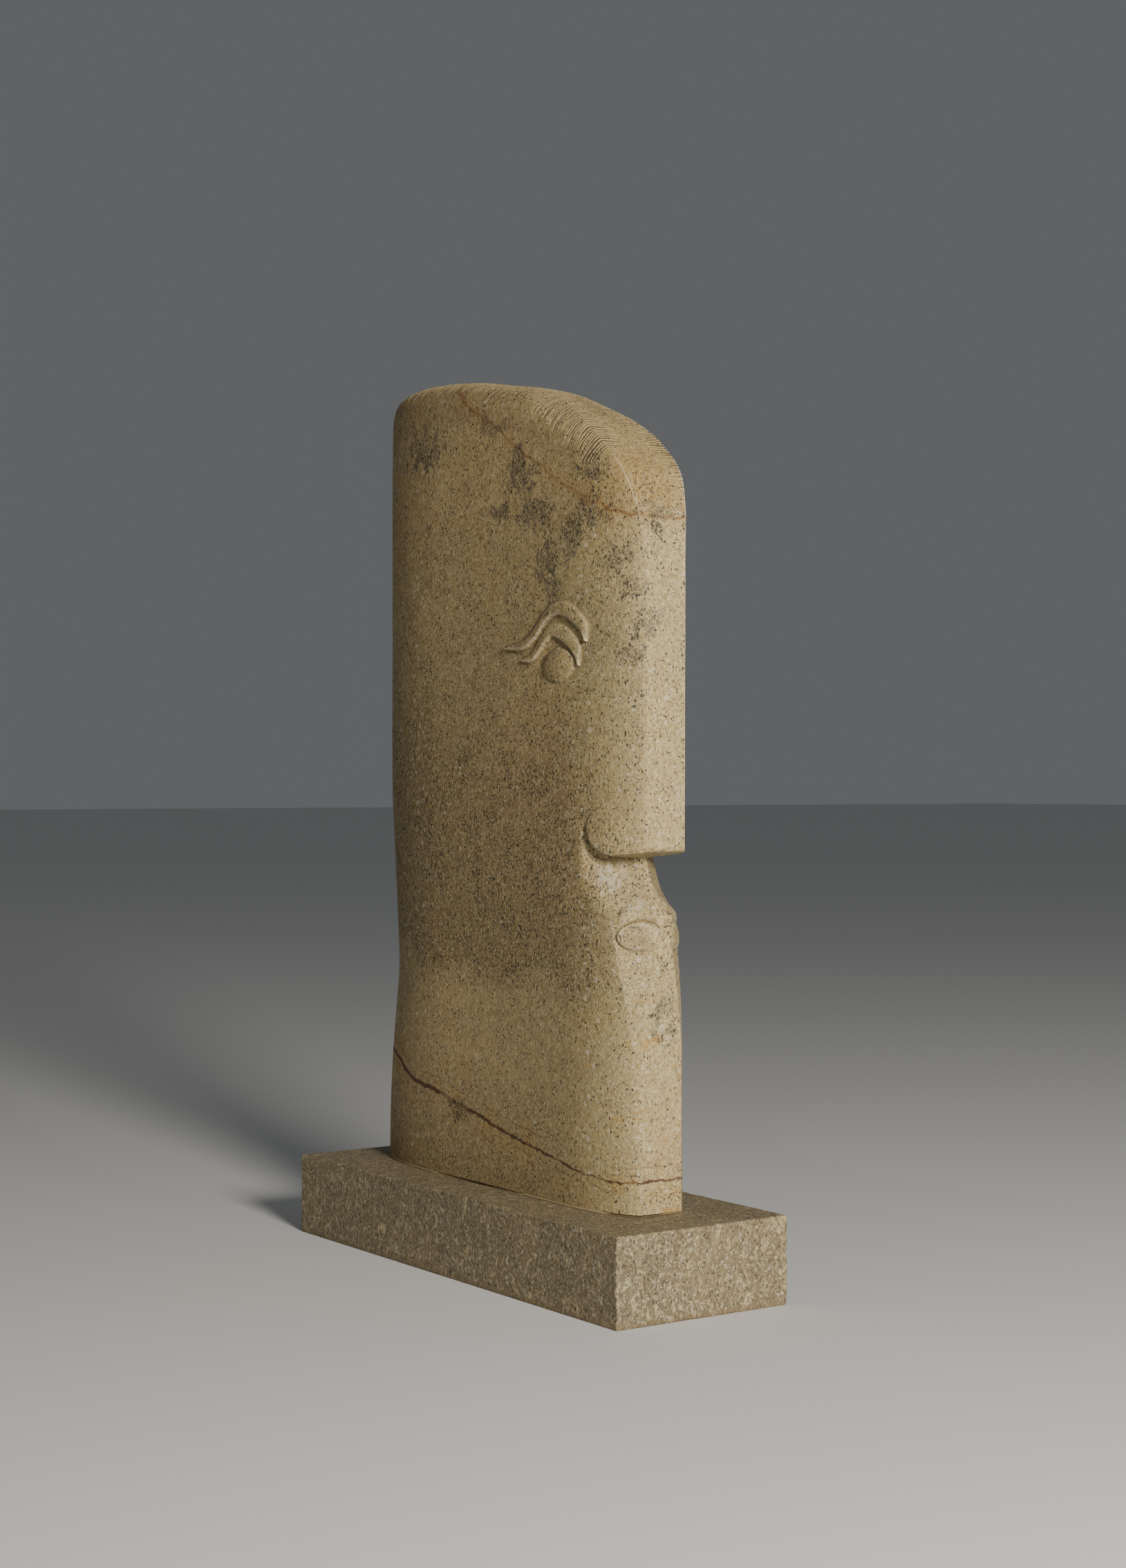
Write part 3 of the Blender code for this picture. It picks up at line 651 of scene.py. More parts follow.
def toolingDepth(run, cross, arris, strength, points):
    # claw chisel strokes across the edge; run is along the outline, cross is from its middle
    draws = np.random.default_rng(tooling["seed"])
    alongOnly = np.stack([run * 70, np.zeros_like(run), np.zeros_like(run)], -1)
    phase = run / tooling["pitch"] + readNoise(alongOnly, 1.0, 2.0) * tooling["unevenness"]
    phase = phase + readNoise(points, 40.0, 7.0) * tooling["wander"]
    stroke = np.floor(phase).astype(int) - int(np.floor(phase.min()))
    strong = draws.uniform(0.40, 1.0, stroke.max() + 2)[stroke]
    reach = draws.uniform(tooling["reachLeast"], tooling["reachMost"], stroke.max() + 2)[stroke]
    valley = (0.5 - 0.5 * np.cos(2 * math.pi * (phase % 1))) ** 1.3
    side = np.maximum(np.abs(cross) - arris * 0.8, 0)
    fade = 1 - smoothStep(reach - 0.006, reach + 0.003, side)
    crest = smoothStep(0.3, 0.9, np.abs(cross) / np.maximum(arris, 0.004))
    crest = np.maximum(crest, 1 - smoothStep(0.004, 0.014, arris))
    broken = 0.55 + 0.45 * smoothStep(-0.25, 0.2, readNoise(points, 60.0, 19.0))
    spread = fade * strength * (tooling["onCrest"] + (1 - tooling["onCrest"]) * crest)
    return valley * strong * broken * spread, spread


def hollows(back, up, out):
    # how far the carving lies below the stone close by, in metres; negative on its edges
    found = np.zeros(len(back))
    face = np.flatnonzero((back < 0.5 * unitBack) & (up > 0.2 * unitUp) & (up < 0.75 * unitUp))
    reach = handWork["cavityReach"]
    around = [headOut(back[face] + a * reach, up[face] + b * reach)
              for a, b in ((1, 0), (-1, 0), (0, 1), (0, -1))]
    found[face] = sum(around) / len(around) - out[face]
    return found


def buildHead():
    line = outline()
    normal = inward(line)
    edgeDepth = along(line, belt["frontEdge"], belt["crownEdge"], belt["backEdge"])
    bandDepth = unfolded(line, normal, along(line, belt["frontBand"], belt["crownBand"], belt["backBand"]))
    edgeDepth = np.minimum(edgeDepth, bandDepth * 0.6)
    turns = np.linspace(0, math.pi / 2, belt["edgeRings"] + 1)
    depths = [edgeDepth * (1 - math.cos(turn)) for turn in turns]
    depths += [edgeDepth + (bandDepth - edgeDepth) * share
               for share in np.linspace(0, 1, belt["bandRings"] + 1)[1:]]
    rings = [line + normal * depth[:, None] for depth in depths]
    outs = [headOut(ring[:, 0], ring[:, 1]) for ring in rings]

    spots, runs, crosses, arrises = [], [], [], []
    run = np.concatenate([[0], np.cumsum(np.linalg.norm(np.diff(line, axis=0), axis=1))])
    arc = [outs[0]]
    for k in range(1, len(rings)):
        arc.append(arc[-1] + np.sqrt((depths[k] - depths[k - 1]) ** 2 + (outs[k] - outs[k - 1]) ** 2))
    order = [(-1, k) for k in range(len(rings) - 1, -1, -1)]
    land = [-share for share in belt["landShares"][:0:-1]] + list(belt["landShares"])
    order += [(share, None) for share in land]
    order += [(1, k) for k in range(len(rings))]
    for side, k in order:
        ring, out = (line, outs[0] * side) if k is None else (rings[k], outs[k] * side)
        spots.append(np.stack([out, ring[:, 0], ring[:, 1]], -1))
        runs.append(run)
        crosses.append(outs[0] * side if k is None else arc[k] * side)
        arrises.append(np.full(len(line), 1.0 if k == 0 else 0.0))
    columns, rows = len(order), len(line)
    grid = np.arange(columns * rows).reshape(columns, rows)
    faces = [(grid[c, r], grid[c + 1, r], grid[c + 1, r + 1], grid[c, r + 1])
             for c in range(columns - 1) for r in range(rows - 1)]

    border = rings[-1]
    crownRows = np.flatnonzero((line[:, 1] > 0.86 * unitUp) & (line[:, 0] < 0.95 * unitBack))
    closeBy = np.vstack([
        (border + normal * 0.0014)[crownRows[::2]],
        (border + normal * 0.0036)[crownRows[1::5]],
    ])
    sole = respace([border[-1], border[0]], wideSpacing)[1:-1]
    loop = np.vstack([border, sole])
    flat = np.vstack([loop, flankPoints(loop, closeBy)])
    edges = [(i, (i + 1) % len(loop)) for i in range(len(loop))]
    _, _, triangles, source, _, _ = delaunay_2d_cdt([Vector(p) for p in flat], edges, [], 1, 1e-9)
    heights = headOut(flat[:, 0], flat[:, 1])
    hollow = hollows(flat[:, 0], flat[:, 1], heights)[len(border):]
    extra = flat[len(border):]
    soles = {}
    for side, column in ((-1, 0), (1, columns - 1)):
        start = sum(len(block) for block in spots)
        spots.append(np.stack([heights[len(border):] * side, extra[:, 0], extra[:, 1]], -1))
        index = np.concatenate([grid[column], np.arange(start, start + len(extra))])
        for triangle in triangles:
            corners = [int(index[source[i][0]]) for i in triangle]
            faces.append(corners if side > 0 else corners[::-1])
        soles[side] = list(range(start, start + len(sole)))
    foot = [int(i) for i in grid[:, 0]] + soles[1][::-1] + [int(i) for i in grid[::-1, -1]] + soles[-1]
    faces.append(foot)

    spots = np.vstack(spots)
    belted = columns * rows
    runs, crosses = np.concatenate(runs), np.concatenate(crosses)
    landHalf = np.tile(outs[0], columns)
    frontTop = np.tile(line, (columns, 1))
    shareBack, shareUp = frontTop[:, 0] / unitBack, frontTop[:, 1] / unitUp
    t = tooling
    lifted = shareUp + t["drop"] * (1 - smoothStep(0.3, 0.6, shareBack))
    strength = smoothStep(t["backFrom"], t["backTo"], shareBack) * smoothStep(t["upFrom"], t["upTo"], lifted)
    farEdge = smoothStep(t["farUpFrom"], t["farUpTo"], shareUp)
    farEdge = farEdge * (1 - smoothStep(t["farBackFrom"], t["farBackTo"], shareBack))
    farEdge = farEdge * smoothStep(t["farFrom"], t["farTo"], crosses - landHalf)
    strength = np.maximum(strength, t["farStrength"] * farEdge)
    cut, tooled = toolingDepth(runs, crosses, landHalf, strength, spots[:belted])
    arris = np.concatenate(arrises) * (1 - smoothStep(0.055, 0.09, shareBack))

    places = np.stack([spots[:, 0], low.y + spots[:, 1], low.z + spots[:, 2]], -1)
    mesh = bpy.data.meshes.new("carved_head")
    mesh.from_pydata(places.tolist(), [], [tuple(int(i) for i in face) for face in faces])
    mesh.update()
    mesh.validate()
    normals = np.empty(len(places) * 3)
    mesh.vertices.foreach_get("normal", normals)
    normals = normals.reshape(-1, 3)
    sinking = handWork["swell"] * (0.5 + 0.5 * readNoise(places, handWork["swellScale"], 5.0))
    sinking += handWork["ripple"] * (0.5 + 0.5 * readNoise(places, handWork["rippleScale"], 9.0))
    sinking[:belted] += tooling["depth"] * cut
    sinking[places[:, 2] < low.z + 0.0005] = 0
    outward = np.sign(float((normals[:belted, 2] * (shareUp > 0.99)).sum()) or 1.0)
    places = places - normals * outward * sinking[:, None]
    mesh.vertices.foreach_set("co", places.ravel())
    marks = {"tooled": tooled, "groove": cut, "arris": arris, "run": runs, "cross": crosses,
             "hollow": np.concatenate([np.zeros(belted), hollow, hollow])}
    for name, values in marks.items():
        layer = mesh.attributes.new(name, "FLOAT", "POINT")
        full = np.zeros(len(places))
        full[:len(values)] = values
        layer.data.foreach_set("value", full)
    mesh.shade_smooth()
    mesh.set_sharp_from_angle(angle=math.radians(handWork["sharpOver"]))
    head = bpy.data.objects.new("carved_head", mesh)
    bpy.context.scene.collection.objects.link(head)
    triangleCount = sum(len(p.vertices) - 2 for p in mesh.polygons)
    print("head:", len(mesh.vertices), "points,", triangleCount, "triangles")
    return head, places[np.array(foot)]


# Plinth: a sawn and rubbed block with knocked edges

low0, high0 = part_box("plinth")
plinth = {
    "spacing": 0.0032, "edgeStops": (0.0, 0.0004, 0.0009, 0.0015, 0.0023, 0.0034, 0.0050, 0.0072),
    "edgeRadius": 0.0011, "chipDepth": 0.0042, "chipScale": 55.0, "chipFrom": 0.30,
    "wear": 0.0006, "wearScale": 18.0, "sharpOver": 40,
}


def stopsAlong(start, end):
    near = np.array(plinth["edgeStops"])
    span = end - start
    count = round((span - 2 * near[-1]) / plinth["spacing"])
    middle = np.linspace(near[-1], span - near[-1], count + 1)[1:-1]
    return start + np.concatenate([near, middle, span - near[::-1]])


def knockedEdge(point):
    # pulls a point of the block's surface onto an edge of changing radius
    knock = noise.noise(point * plinth["chipScale"]) + 0.5 * noise.noise(point * 2.3 * plinth["chipScale"])
    chip = max(knock - plinth["chipFrom"], 0) * plinth["chipDepth"] / (1.2 - plinth["chipFrom"])
    radius = plinth["edgeRadius"] + chip
    radius += plinth["wear"] * (0.5 + 0.5 * noise.noise(point * plinth["wearScale"]))
    nearest = Vector([min(max(point[k], low0[k] + radius), high0[k] - radius) for k in range(3)])
    away = point - nearest
    if sum(abs(value) > 1e-6 for value in away) < 2:
        return point
    return nearest + away.normalized() * radius


def buildPlinth():
    stops = [stopsAlong(low0[k], high0[k]) for k in range(3)]
    last = [len(s) - 1 for s in stops]
    index, points, faces = {}, [], []

    def corner(i, j, k):
        if (i, j, k) not in index:
            index[i, j, k] = len(points)
            points.append(knockedEdge(Vector((stops[0][i], stops[1][j], stops[2][k]))))
        return index[i, j, k]

    for axis in range(3):
        one, two = [k for k in range(3) if k != axis]
        for end in (0, last[axis]):
            for a in range(last[one]):
                for b in range(last[two]):
                    ring = []
                    for da, db in ((0, 0), (1, 0), (1, 1), (0, 1)):
                        spot = [0, 0, 0]
                        spot[axis], spot[one], spot[two] = end, a + da, b + db
                        ring.append(corner(*spot))
                    flip = (end == 0) == (axis != 1)
                    faces.append(ring[::-1] if flip else ring)
    print("plinth:", len(points), "points,", 2 * len(faces), "triangles")
    return meshObject("granite_plinth", points, faces, plinth["sharpOver"])


# Mortar bed: squeezed out a little round the foot, missing at the front and for a stretch of the near flank

lowBed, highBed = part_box("setting_bed")
bed = {
    "lip": 0.0009, "lipLeast": -0.0026, "spacing": 0.0022, "sharpOver": 45, "seed": 4.0,
    "gapFrom": -0.045, "gapTo": 0.085, "endsAt": -0.195, "fade": 0.020,      # where it is missing, along y
}


def buildBed(foot):
    middle = Vector((0, (low.y + high.y) / 2))
    ring = respaceLoop([(p[0], p[1]) for p in foot], bed["spacing"])
    levels = [(lowBed.z, -0.2), (lowBed.z + 0.0003, 0.75), ((lowBed.z + highBed.z) / 2, 1.0),
              (highBed.z - 0.0004, 0.7), (highBed.z, -0.2)]
    points = []
    for height, bulge in levels:
        for spot in ring:
            flat = Vector(spot)
            stray = noise.noise(Vector((spot[0], spot[1], 0)) * 70 + Vector((bed["seed"], 0, 0)))
            rough = noise.noise(Vector((spot[0], spot[1], height * 4)) * 420)
            full = bed["lip"] * (0.62 + 0.38 * stray + 0.2 * rough)
            inGap = smoothStep(bed["gapFrom"] - bed["fade"], bed["gapFrom"], spot[1])
            inGap *= 1 - smoothStep(bed["gapTo"], bed["gapTo"] + bed["fade"], spot[1])
            atFront = 1 - smoothStep(bed["endsAt"], bed["endsAt"] + bed["fade"], spot[1])
            lip = full + (bed["lipLeast"] - full) * float(max(inGap, atFront)) * (spot[0] < 0)
            moved = flat + (flat - middle).normalized() * min(lip * bulge, bed["lip"])
            points.append((moved.x, moved.y, height))
    count = len(ring)
    last = (len(levels) - 1) * count
    faces = [(a + i, a + (i + 1) % count, a + count + (i + 1) % count, a + count + i)
             for a in range(0, last, count) for i in range(count)]
    faces.append(tuple(range(count))[::-1])
    faces.append(tuple(range(last, last + count)))
    return meshObject("mortar_bed", points, faces, bed["sharpOver"])


def respaceLoop(points, spacing):
    closed = np.array(points + points[:1], float)
    return respace(closed, spacing)[:-1].tolist()


# Finishes

granite = {
    "khaki": (0.410, 0.295, 0.125), "warm": (0.430, 0.285, 0.100), "olive": (0.320, 0.250, 0.108),
    "brown": (0.160, 0.100, 0.040), "pale": (0.580, 0.480, 0.255), "mica": (0.020, 0.016, 0.012),
    "rust": (0.080, 0.030, 0.012), "ochre": (0.380, 0.190, 0.025), "slate": (0.045, 0.052, 0.056),
    "scuff": (0.660, 0.590, 0.450), "tooled": (0.400, 0.275, 0.110), "strokeShade": (0.080, 0.050, 0.022),
    "umber": (0.230, 0.125, 0.028), "seam": (0.210, 0.090, 0.022),
    "plinthDark": (0.200, 0.162, 0.096), "plinthPale": (0.245, 0.190, 0.104),
    "dusk": (0.088, 0.070, 0.036), "chalk": (0.500, 0.415, 0.235),
    "crystalScale": 330.0, "feldsparScale": 150.0, "grainScale": 360.0, "fleckScale": 270.0,
    "fleckBreak": 440.0, "pepperScale": 640.0, "sliverScale": 300.0, "sliverBreak": 420.0,
}
mortarTints = {"dark": (0.36, 0.26, 0.12), "pale": (0.60, 0.48, 0.28)}
headStone = {
    "flecks": 0.028, "crowding": 0.062, "cheekFlecks": 0.055, "clusterFlecks": 0.09, "lowFlecks": -0.020,
    "slivers": 0.06, "squash": 0.75, "bump": 0.00045,
    # how strongly each tint shows
    "warm": 0.30, "cheek": 0.42, "mottleDark": 0.26, "mottlePale": 0.22, "foot": 0.30, "front": 0.38,
    "low": 0.10, "crystal": 0.24, "shade": 0.30, "frontShade": 0.22, "light": 0.38, "sliver": 0.55,
    "feldspar": 0.45, "top": 0.30, "cluster": 0.18, "slate": 0.58, "fresh": 0.62, "scratchDark": 0.55,
    "scratchPale": 0.50, "crest": 0.50, "groove": 0.90, "stain": 0.30, "threads": 0.64, "streaks": 0.70,
    "halo": 0.24, "seam": 0.78, "pepper": 0.62, "fleck": 0.88, "crease": 0.55, "edge": 0.24, "lip": 0.36,
}
plinthStone = {
    "flecks": 0.025, "crowding": 0.05, "slivers": 0.07, "squash": 0.68, "bump": 0.0006,
    "mottle": 0.30, "crystal": 0.30, "shade": 0.55, "light": 0.48, "blotch": 0.72, "sliver": 0.45,
    "pepper": 0.50, "fleck": 0.74, "bottomDark": 0.55, "bottomDarkHeight": 0.008,
}
# clusters of dark mineral: the middle's x, y and z and the three radii, in millimetres
clusters = [
    (-43, 126, 798, 43, 72, 49), (-43, -9, 806, 43, 58, 29), (-43, -58, 752, 43, 46, 52),
    (-43, -78, 716, 43, 70, 29), (-43, -20, 724, 43, 38, 20), (-43, -137, 690, 43, 35, 38),
    (-43, -98, 670, 43, 35, 49), (-43, -105, 640, 43, 32, 41), (-40, -200, 667, 43, 43, 38),
    (-34, -214, 636, 43, 29, 35), (-22, -222, 610, 32, 29, 29), (-34, -212, 580, 29, 35, 26),
    (-43, -172, 712, 43, 49, 32), (-43, -170, 752, 43, 43, 29), (-10, -222, 705, 43, 29, 41),
    (4, -214, 255, 32, 29, 49), (-43, 51, 146, 43, 40, 26), (43, -20, 690, 43, 58, 49),
    (43, -110, 745, 43, 43, 52), (43, 120, 560, 43, 49, 41), (43, 60, 780, 43, 72, 38),
]
# veins through the stone, as y and z in millimetres
rustRoute = [
    (240, 198), (220, 194), (184, 186), (166, 176), (130, 166), (98, 163), (60, 154), (20, 147),
    (-20, 137), (-60, 130), (-114, 121), (-145, 115), (-205, 110), (-228, 114),
]
# threads beside the rust vein: height above it and half-width
rustThreads = [(0.0130, 0.0012), (0.0070, 0.0010), (-0.008, 0.0010), (0.0260, 0.0011)]
ochreRoute = [
    (60, 846), (25, 823), (-5, 809), (-56, 777), (-116, 745), (-150, 728), (-176, 718), (-209, 705),
    (-240, 703),
]
veins = {
    "rustWander": 0.0075, "rustRipple": 120.0, "rustLeast": 0.0014, "rustMore": 0.0018,
    "ochreWander": 0.012, "ochreRipple": 70.0, "seamHalfWidth": 0.0030, "haloHalfWidth": 0.020,
}
# where the stone is stained and scuffed, and where painted shade and a painted highlight lie on the lips:
# middle and radii
behindMouth = ((-0.041, -0.168, 0.318), (0.016, 0.062, 0.075))
# painted shade over the pad of the lower lip
lowerLipShade = ((-0.020, -0.214, 0.326), (0.026, 0.018, 0.015))
underNose = ((-0.030, -0.180, 0.386), (0.022, 0.024, 0.024))
# a painted highlight on the hump of the upper lip
upperLipHighlight = ((-0.022, -0.204, 0.357), (0.022, 0.014, 0.010))


def graniteGrain(stone, fleckShare, sliverShare, squash):
    # dark flecks, pale slivers, rare dark crystals and the darker and lighter grains between them
    g = granite
    place = stone.shift("MULTIPLY", stone.place, (1, 1, squash))
    draw, near = stone.crystals(g["crystalScale"], place)
    crystals = stone.step(draw, 0.93, 0.95) * (1 - stone.step(near, 0.24, 0.38))
    flecks = stone.squiggles(g["fleckScale"], g["fleckBreak"], fleckShare, place)
    pepper = stone.step(stone.noise(g["pepperScale"], 1), 0.70 - fleckShare, 0.74 - fleckShare)
    moved = stone.shift("ADD", place, (3.1, 1.7, 2.3))
    slivers = stone.squiggles(g["sliverScale"], g["sliverBreak"], sliverShare, moved)
    grain = stone.noise(g["grainScale"], 4, 0.75, 0.8, place)
    shade, light = stone.step(grain, 0.48, 0.62), 1 - stone.step(grain, 0.36, 0.50)
    return stone.largest([flecks, crystals]), pepper, slivers, draw, shade, light


def headFinish():
    stone = Stone("head_granite")
    h = headStone
    y, z = stone.axis("Y"), stone.axis("Z")
    large = stone.noise(4.5, 4, 0.55, 0.3)
    patch = stone.noise(16.0, 4, 0.60, 0.2)
    crowd = stone.noise(34.0, 4, 0.65)
    mottle = stone.noise(130.0, 3, 0.65)
    clustered = stone.largest([stone.spot(c[:3], c[3:]) for c in drawn(clusters, *[0.001] * 6)]) * 0.30
    clustered = stone.step(clustered + stone.noise(58.0, 5, 0.72, 1.4) + mottle * 0.25, 0.80, 0.90)
    slate = stone.step(stone.noise(240.0, 4, 0.72, 1.6), 0.50, 0.60) * clustered
    stray = patch - 0.5

    # places in the stone: the low part, the browner cheek, the foot, the paler front and the brow
    low = 1 - stone.step(z + stray * 0.05, 0.262, 0.296)
    height = z + stray * 0.10 - y * 0.08
    cheek = stone.step(height, 0.262, 0.300) * (1 - stone.step(height, 0.44, 0.60))
    cheek = cheek * stone.step(y, -0.225, -0.12)
    brown = stone.largest([cheek, stone.spot(*behindMouth)])
    foot = (1 - stone.step(z + stray * 0.08, 0.090, 0.210)) * stone.step(y, -0.210, -0.020)
    front = 1 - stone.step(y + stray * 0.06, -0.222, -0.130)
    brow = stone.step(z + stray * 0.08 - y * 0.30, 0.735, 0.800) * front
    top = stone.step(z + stray * 0.05, 0.790, 0.850)

    share = h["flecks"] + h["crowding"] * stone.step(crowd, 0.42, 0.66) + h["cheekFlecks"] * cheek
    share = share + h["clusterFlecks"] * clustered + h["lowFlecks"] * low
    flecks, pepper, slivers, tone, shade, light = graniteGrain(stone, share, h["slivers"], h["squash"])
    draw, near = stone.crystals(granite["feldsparScale"], stone.place)
    feldspar = stone.step(draw, 0.90, 0.92) * (1 - stone.step(near + mottle * 0.2, 0.36, 0.52))

    # the crown is fresher stone, with pale crests as a painted highlight on the ridges and painted shade in
    # the strokes
    tooled, groove = stone.mark("tooled"), stone.mark("groove")
    across = stone.node("CombineXYZ", {}, {0: stone.mark("run") * 620.0, 1: stone.mark("cross") * 22.0})
    scratch = stone.noise(1.0, 2, 0.6, 0, across)
    crest = 1 - stone.step(groove, 0.02, 0.30)

    rust = stone.vein(rustRoute, veins["rustWander"], veins["rustRipple"])
    wide = veins["rustLeast"] + veins["rustMore"] * stone.step(y, -0.10, 0.10)
    heart = 1 - stone.step(rust.math("ABSOLUTE", rust), wide * 0.4, wide + 0.0004)
    broken = stone.step(stone.noise(42.0, 3, 0.6), 0.44, 0.54)
    shown = [stone.step(patch, 0.42, 0.55), stone.step(crowd, 0.46, 0.58),
             stone.step(draw, 0.45, 0.6), stone.step(crowd, 0.52, 0.66)]
    threads = stone.largest([stone.band(rust, above, halfWidth) * here
                             for (above, halfWidth), here in zip(rustThreads, shown)])
    stain = stone.band(rust, 0.004, 0.040) * stone.step(patch + crowd, 0.90, 1.20)
    flattened = stone.shift("MULTIPLY", stone.place, (0.5, 0.5, 2.2))
    streaks = stone.step(stone.noise(48.0, 4, 0.6, 0.6, flattened), 0.56, 0.70)
    ochre = stone.vein(ochreRoute, veins["ochreWander"], veins["ochreRipple"])
    seam = stone.band(ochre, 0.0, veins["seamHalfWidth"]) * (0.60 + 0.40 * stone.step(crowd, 0.40, 0.54))
    halo = stone.band(ochre, 0.0, veins["haloHalfWidth"]) * stone.step(patch, 0.40, 0.68)

    # painted shade in the creases of the carving, wear and a painted highlight on its edges, scuffs, a
    # painted highlight on the upper lip, and the worn line of the arrises with a painted highlight along it
    hollow = stone.mark("hollow")
    # a real scuff under the nose, and a painted highlight on the upper lip
    scuffsAndHighlight = stone.largest([stone.spot(*underNose), stone.spot(*upperLipHighlight)])
    scuffsAndHighlight = scuffsAndHighlight * stone.step(stone.noise(170.0, 3, 0.6), 0.42, 0.60) * 0.65
    # the arris line: pale wear and a painted highlight along the thin bevel, strongest on the brow
    arrisWearAndHighlight = stone.mark("arris") * (0.12 + 0.45 * stone.step(z + stray * 0.03, 0.695, 0.725))

    colour = stone.mix(stone.step(large, 0.36, 0.64), granite["olive"], granite["khaki"])
    colour = stone.layers(colour, [
        (stone.step(patch, 0.46, 0.72) * h["warm"], "warm"),
        (brown * h["cheek"], "brown"),
        (stone.step(mottle, 0.42, 0.66) * h["mottleDark"], "brown"),
        ((1 - stone.step(mottle, 0.30, 0.52)) * h["mottlePale"], "pale"),
        (foot * h["foot"], "brown"),
        (front * h["front"], "pale"),
        (low * stone.step(crowd, 0.35, 0.65) * h["low"], "pale"),
        ((1 - tone) * h["crystal"], "brown"),
        (shade * (h["shade"] + h["frontShade"] * front), "brown"),
        (light * h["light"], "pale"),
        (slivers * h["sliver"], "scuff"),
        (feldspar * h["feldspar"], "scuff"),
        (brow * (0.45 + 0.45 * shade), "umber"),
        (top * h["top"], "brown"),
        (clustered * h["cluster"], "slate"),
        (slate * h["slate"], "slate"),
        (tooled * h["fresh"], "tooled"),
        (tooled * stone.step(scratch, 0.50, 0.64) * h["scratchDark"], "brown"),
        (tooled * (1 - stone.step(scratch, 0.32, 0.44)) * h["scratchPale"], "pale"),
        # pale crests: a painted highlight on the ridges of the tooling; darkened strokes: painted shade in
        # its grooves
        (tooled * crest * h["crest"], "pale"),
        (stone.step(groove, 0.05, 0.42) * h["groove"], "strokeShade"),
        (stain * h["stain"], "ochre"),
        (threads * h["threads"], "rust"),
        (heart * (0.50 + 0.46 * broken), "rust"),
        (streaks * front * low * h["streaks"], "ochre"),
        (halo * h["halo"], "ochre"),
        (seam * h["seam"], "seam"),
        (pepper * h["pepper"], "mica"),
        (flecks * h["fleck"], "mica"),
        # painted shade in the creases of the carving, and pale wear with a painted highlight on its edges
        (stone.step(hollow, 0.00006, 0.00070) * h["crease"], "brown"),
        (stone.step(0 - hollow, 0.00008, 0.00060) * h["edge"], "scuff"),
        # painted shade on the pad of the lower lip
        (stone.spot(*lowerLipShade) * h["lip"], "brown"),
        (stone.largest([scuffsAndHighlight, arrisWearAndHighlight]), "scuff"),
    ])
    roughness = 0.60 + 0.18 * mottle + tooled * 0.12 - slivers * 0.16
    surface = stone.noise(850.0, 2, 0.6) * 0.30 + mottle * 0.9 - flecks * 0.30 + tone * 0.15
    surface = surface - tooled * scratch * 0.9
    return stone.finish(colour, roughness, surface, h["bump"])


def plinthFinish():
    stone = Stone("plinth_granite")
    p = plinthStone
    large = stone.noise(9.0, 4, 0.6, 0.3)
    crowd = stone.noise(30.0, 4, 0.65)
    mottle = stone.noise(90.0, 4, 0.65)
    share = p["flecks"] + p["crowding"] * stone.step(crowd, 0.45, 0.68)
    flecks, pepper, slivers, tone, shade, light = graniteGrain(stone, share, p["slivers"], p["squash"])
    upright = stone.shift("MULTIPLY", stone.place, (1, 1, 0.8))
    blotch = stone.step(stone.noise(120.0, 3, 0.62, 1.0, upright), 0.56, 0.68)
    colour = stone.mix(stone.step(large, 0.35, 0.65), granite["plinthDark"], granite["plinthPale"])
    colour = stone.layers(colour, [
        (stone.step(mottle, 0.42, 0.66) * p["mottle"], "dusk"),
        ((1 - tone) * p["crystal"], "brown"),
        (shade * p["shade"], "dusk"),
        (light * p["light"], "chalk"),
        (blotch * p["blotch"], "chalk"),
        (slivers * p["sliver"], "scuff"),
        (pepper * p["pepper"], "mica"),
        (flecks * p["fleck"], "mica"),
        # darker towards the bottom of the block
        ((1 - stone.step(stone.axis("Z"), 0.0, p["bottomDarkHeight"])) * p["bottomDark"], "brown"),
    ])
    roughness = 0.58 + 0.20 * mottle - slivers * 0.12
    surface = stone.noise(700.0, 2, 0.6) * 0.35 + mottle * 0.9 - flecks * 0.3 + tone * 0.2
    return stone.finish(colour, roughness, surface, p["bump"])


def mortarFinish():
    stone = Stone("mortar")
    grit = stone.noise(700.0, 3, 0.7)
    y = stone.axis("Y")
    colour = stone.mix(grit, mortarTints["dark"], mortarTints["pale"])
    # in shade where the bed is missing
    atFront = 1 - stone.step(y, bed["endsAt"], bed["endsAt"] + bed["fade"])
    inGap = stone.band(y, (bed["gapFrom"] + bed["gapTo"]) / 2, (bed["gapTo"] - bed["gapFrom"]) * 0.6)
    colour = stone.layers(colour, [(stone.largest([atFront, inGap]) * 0.85, "brown")])
    return stone.finish(colour, 0.9, grit, 0.0004)


# Floor, lights and camera

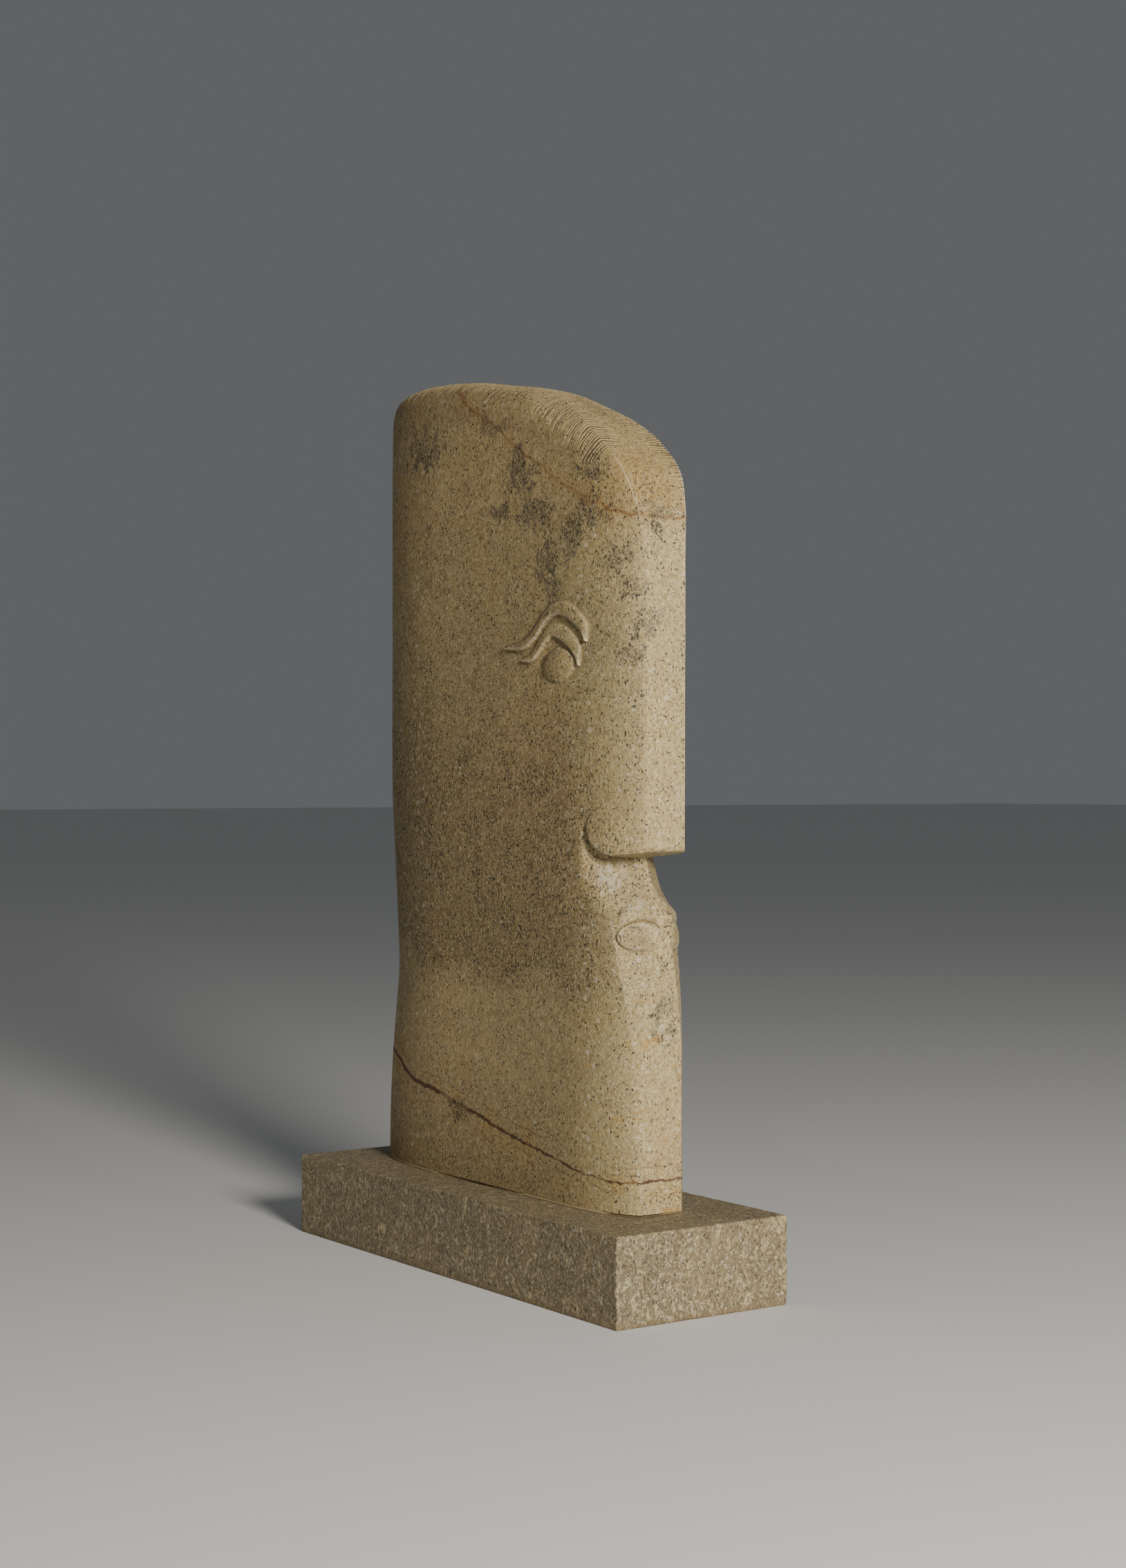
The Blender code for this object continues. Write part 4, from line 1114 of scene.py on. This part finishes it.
stage = {
    "floorSize": 80.0, "floorColour": (0.72, 0.715, 0.70), "floorRoughness": 0.85,
    "worldColour": (0.93, 0.96, 1.0), "worldStrength": 0.13,
    # place, size, power, colour
    "key": ((-0.72, -3.20, 1.30), 0.75, 155.0, (1.0, 0.96, 0.88)), "aim": (0, 0, 0.42),
}
camera = {"place": (-1.297, -1.946, 0.465), "azimuth": -34.56, "lens": 55.56, "sensor": 36.0}


def softLight(name, place, size, power, colour):
    light = bpy.data.lights.new(name, "AREA")
    light.shape = "DISK"
    light.size = size
    light.energy = power
    light.color = colour
    lamp = bpy.data.objects.new(name, light)
    lamp.location = place
    lamp.rotation_euler = (Vector(stage["aim"]) - Vector(place)).to_track_quat("-Z", "Y").to_euler()
    bpy.context.scene.collection.objects.link(lamp)


def buildStage():
    half = stage["floorSize"] / 2
    corners = [(-half, -half, 0), (half, -half, 0), (half, half, 0), (-half, half, 0)]
    floor = meshObject("floor", corners, [(0, 1, 2, 3)])
    paint = bpy.data.materials.new("floor_paint")
    paint.use_nodes = True
    shader = paint.node_tree.nodes["Principled BSDF"]
    shader.inputs["Base Color"].default_value = (*stage["floorColour"], 1)
    shader.inputs["Roughness"].default_value = stage["floorRoughness"]
    floor.data.materials.append(paint)
    world = bpy.data.worlds.new("studio")
    world.use_nodes = True
    sky = world.node_tree.nodes["Background"]
    sky.inputs["Color"].default_value = (*stage["worldColour"], 1)
    sky.inputs["Strength"].default_value = stage["worldStrength"]
    bpy.context.scene.world = world
    softLight("key", *stage["key"])


def buildCamera():
    lens = bpy.data.cameras.new("camera")
    lens.sensor_fit = "VERTICAL"
    lens.sensor_height = camera["sensor"]
    lens.lens = camera["lens"]
    view = bpy.data.objects.new("camera", lens)
    view.location = camera["place"]
    view.rotation_euler = (math.pi / 2, 0, math.radians(camera["azimuth"]))
    bpy.context.scene.collection.objects.link(view)
    bpy.context.scene.camera = view


buildCamera()
buildStage()
print("stage: floor, lights and camera")

head, footRing = buildHead()
head.data.materials.append(headFinish())
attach(head, "root")
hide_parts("head")
print("head: carved")

block = buildPlinth()
block.data.materials.append(plinthFinish())
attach(block, "root")
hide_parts("plinth")
print("plinth: done")

mortar = buildBed(footRing)
mortar.data.materials.append(mortarFinish())
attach(mortar, "root")
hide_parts("setting_bed")
print("bed: done")
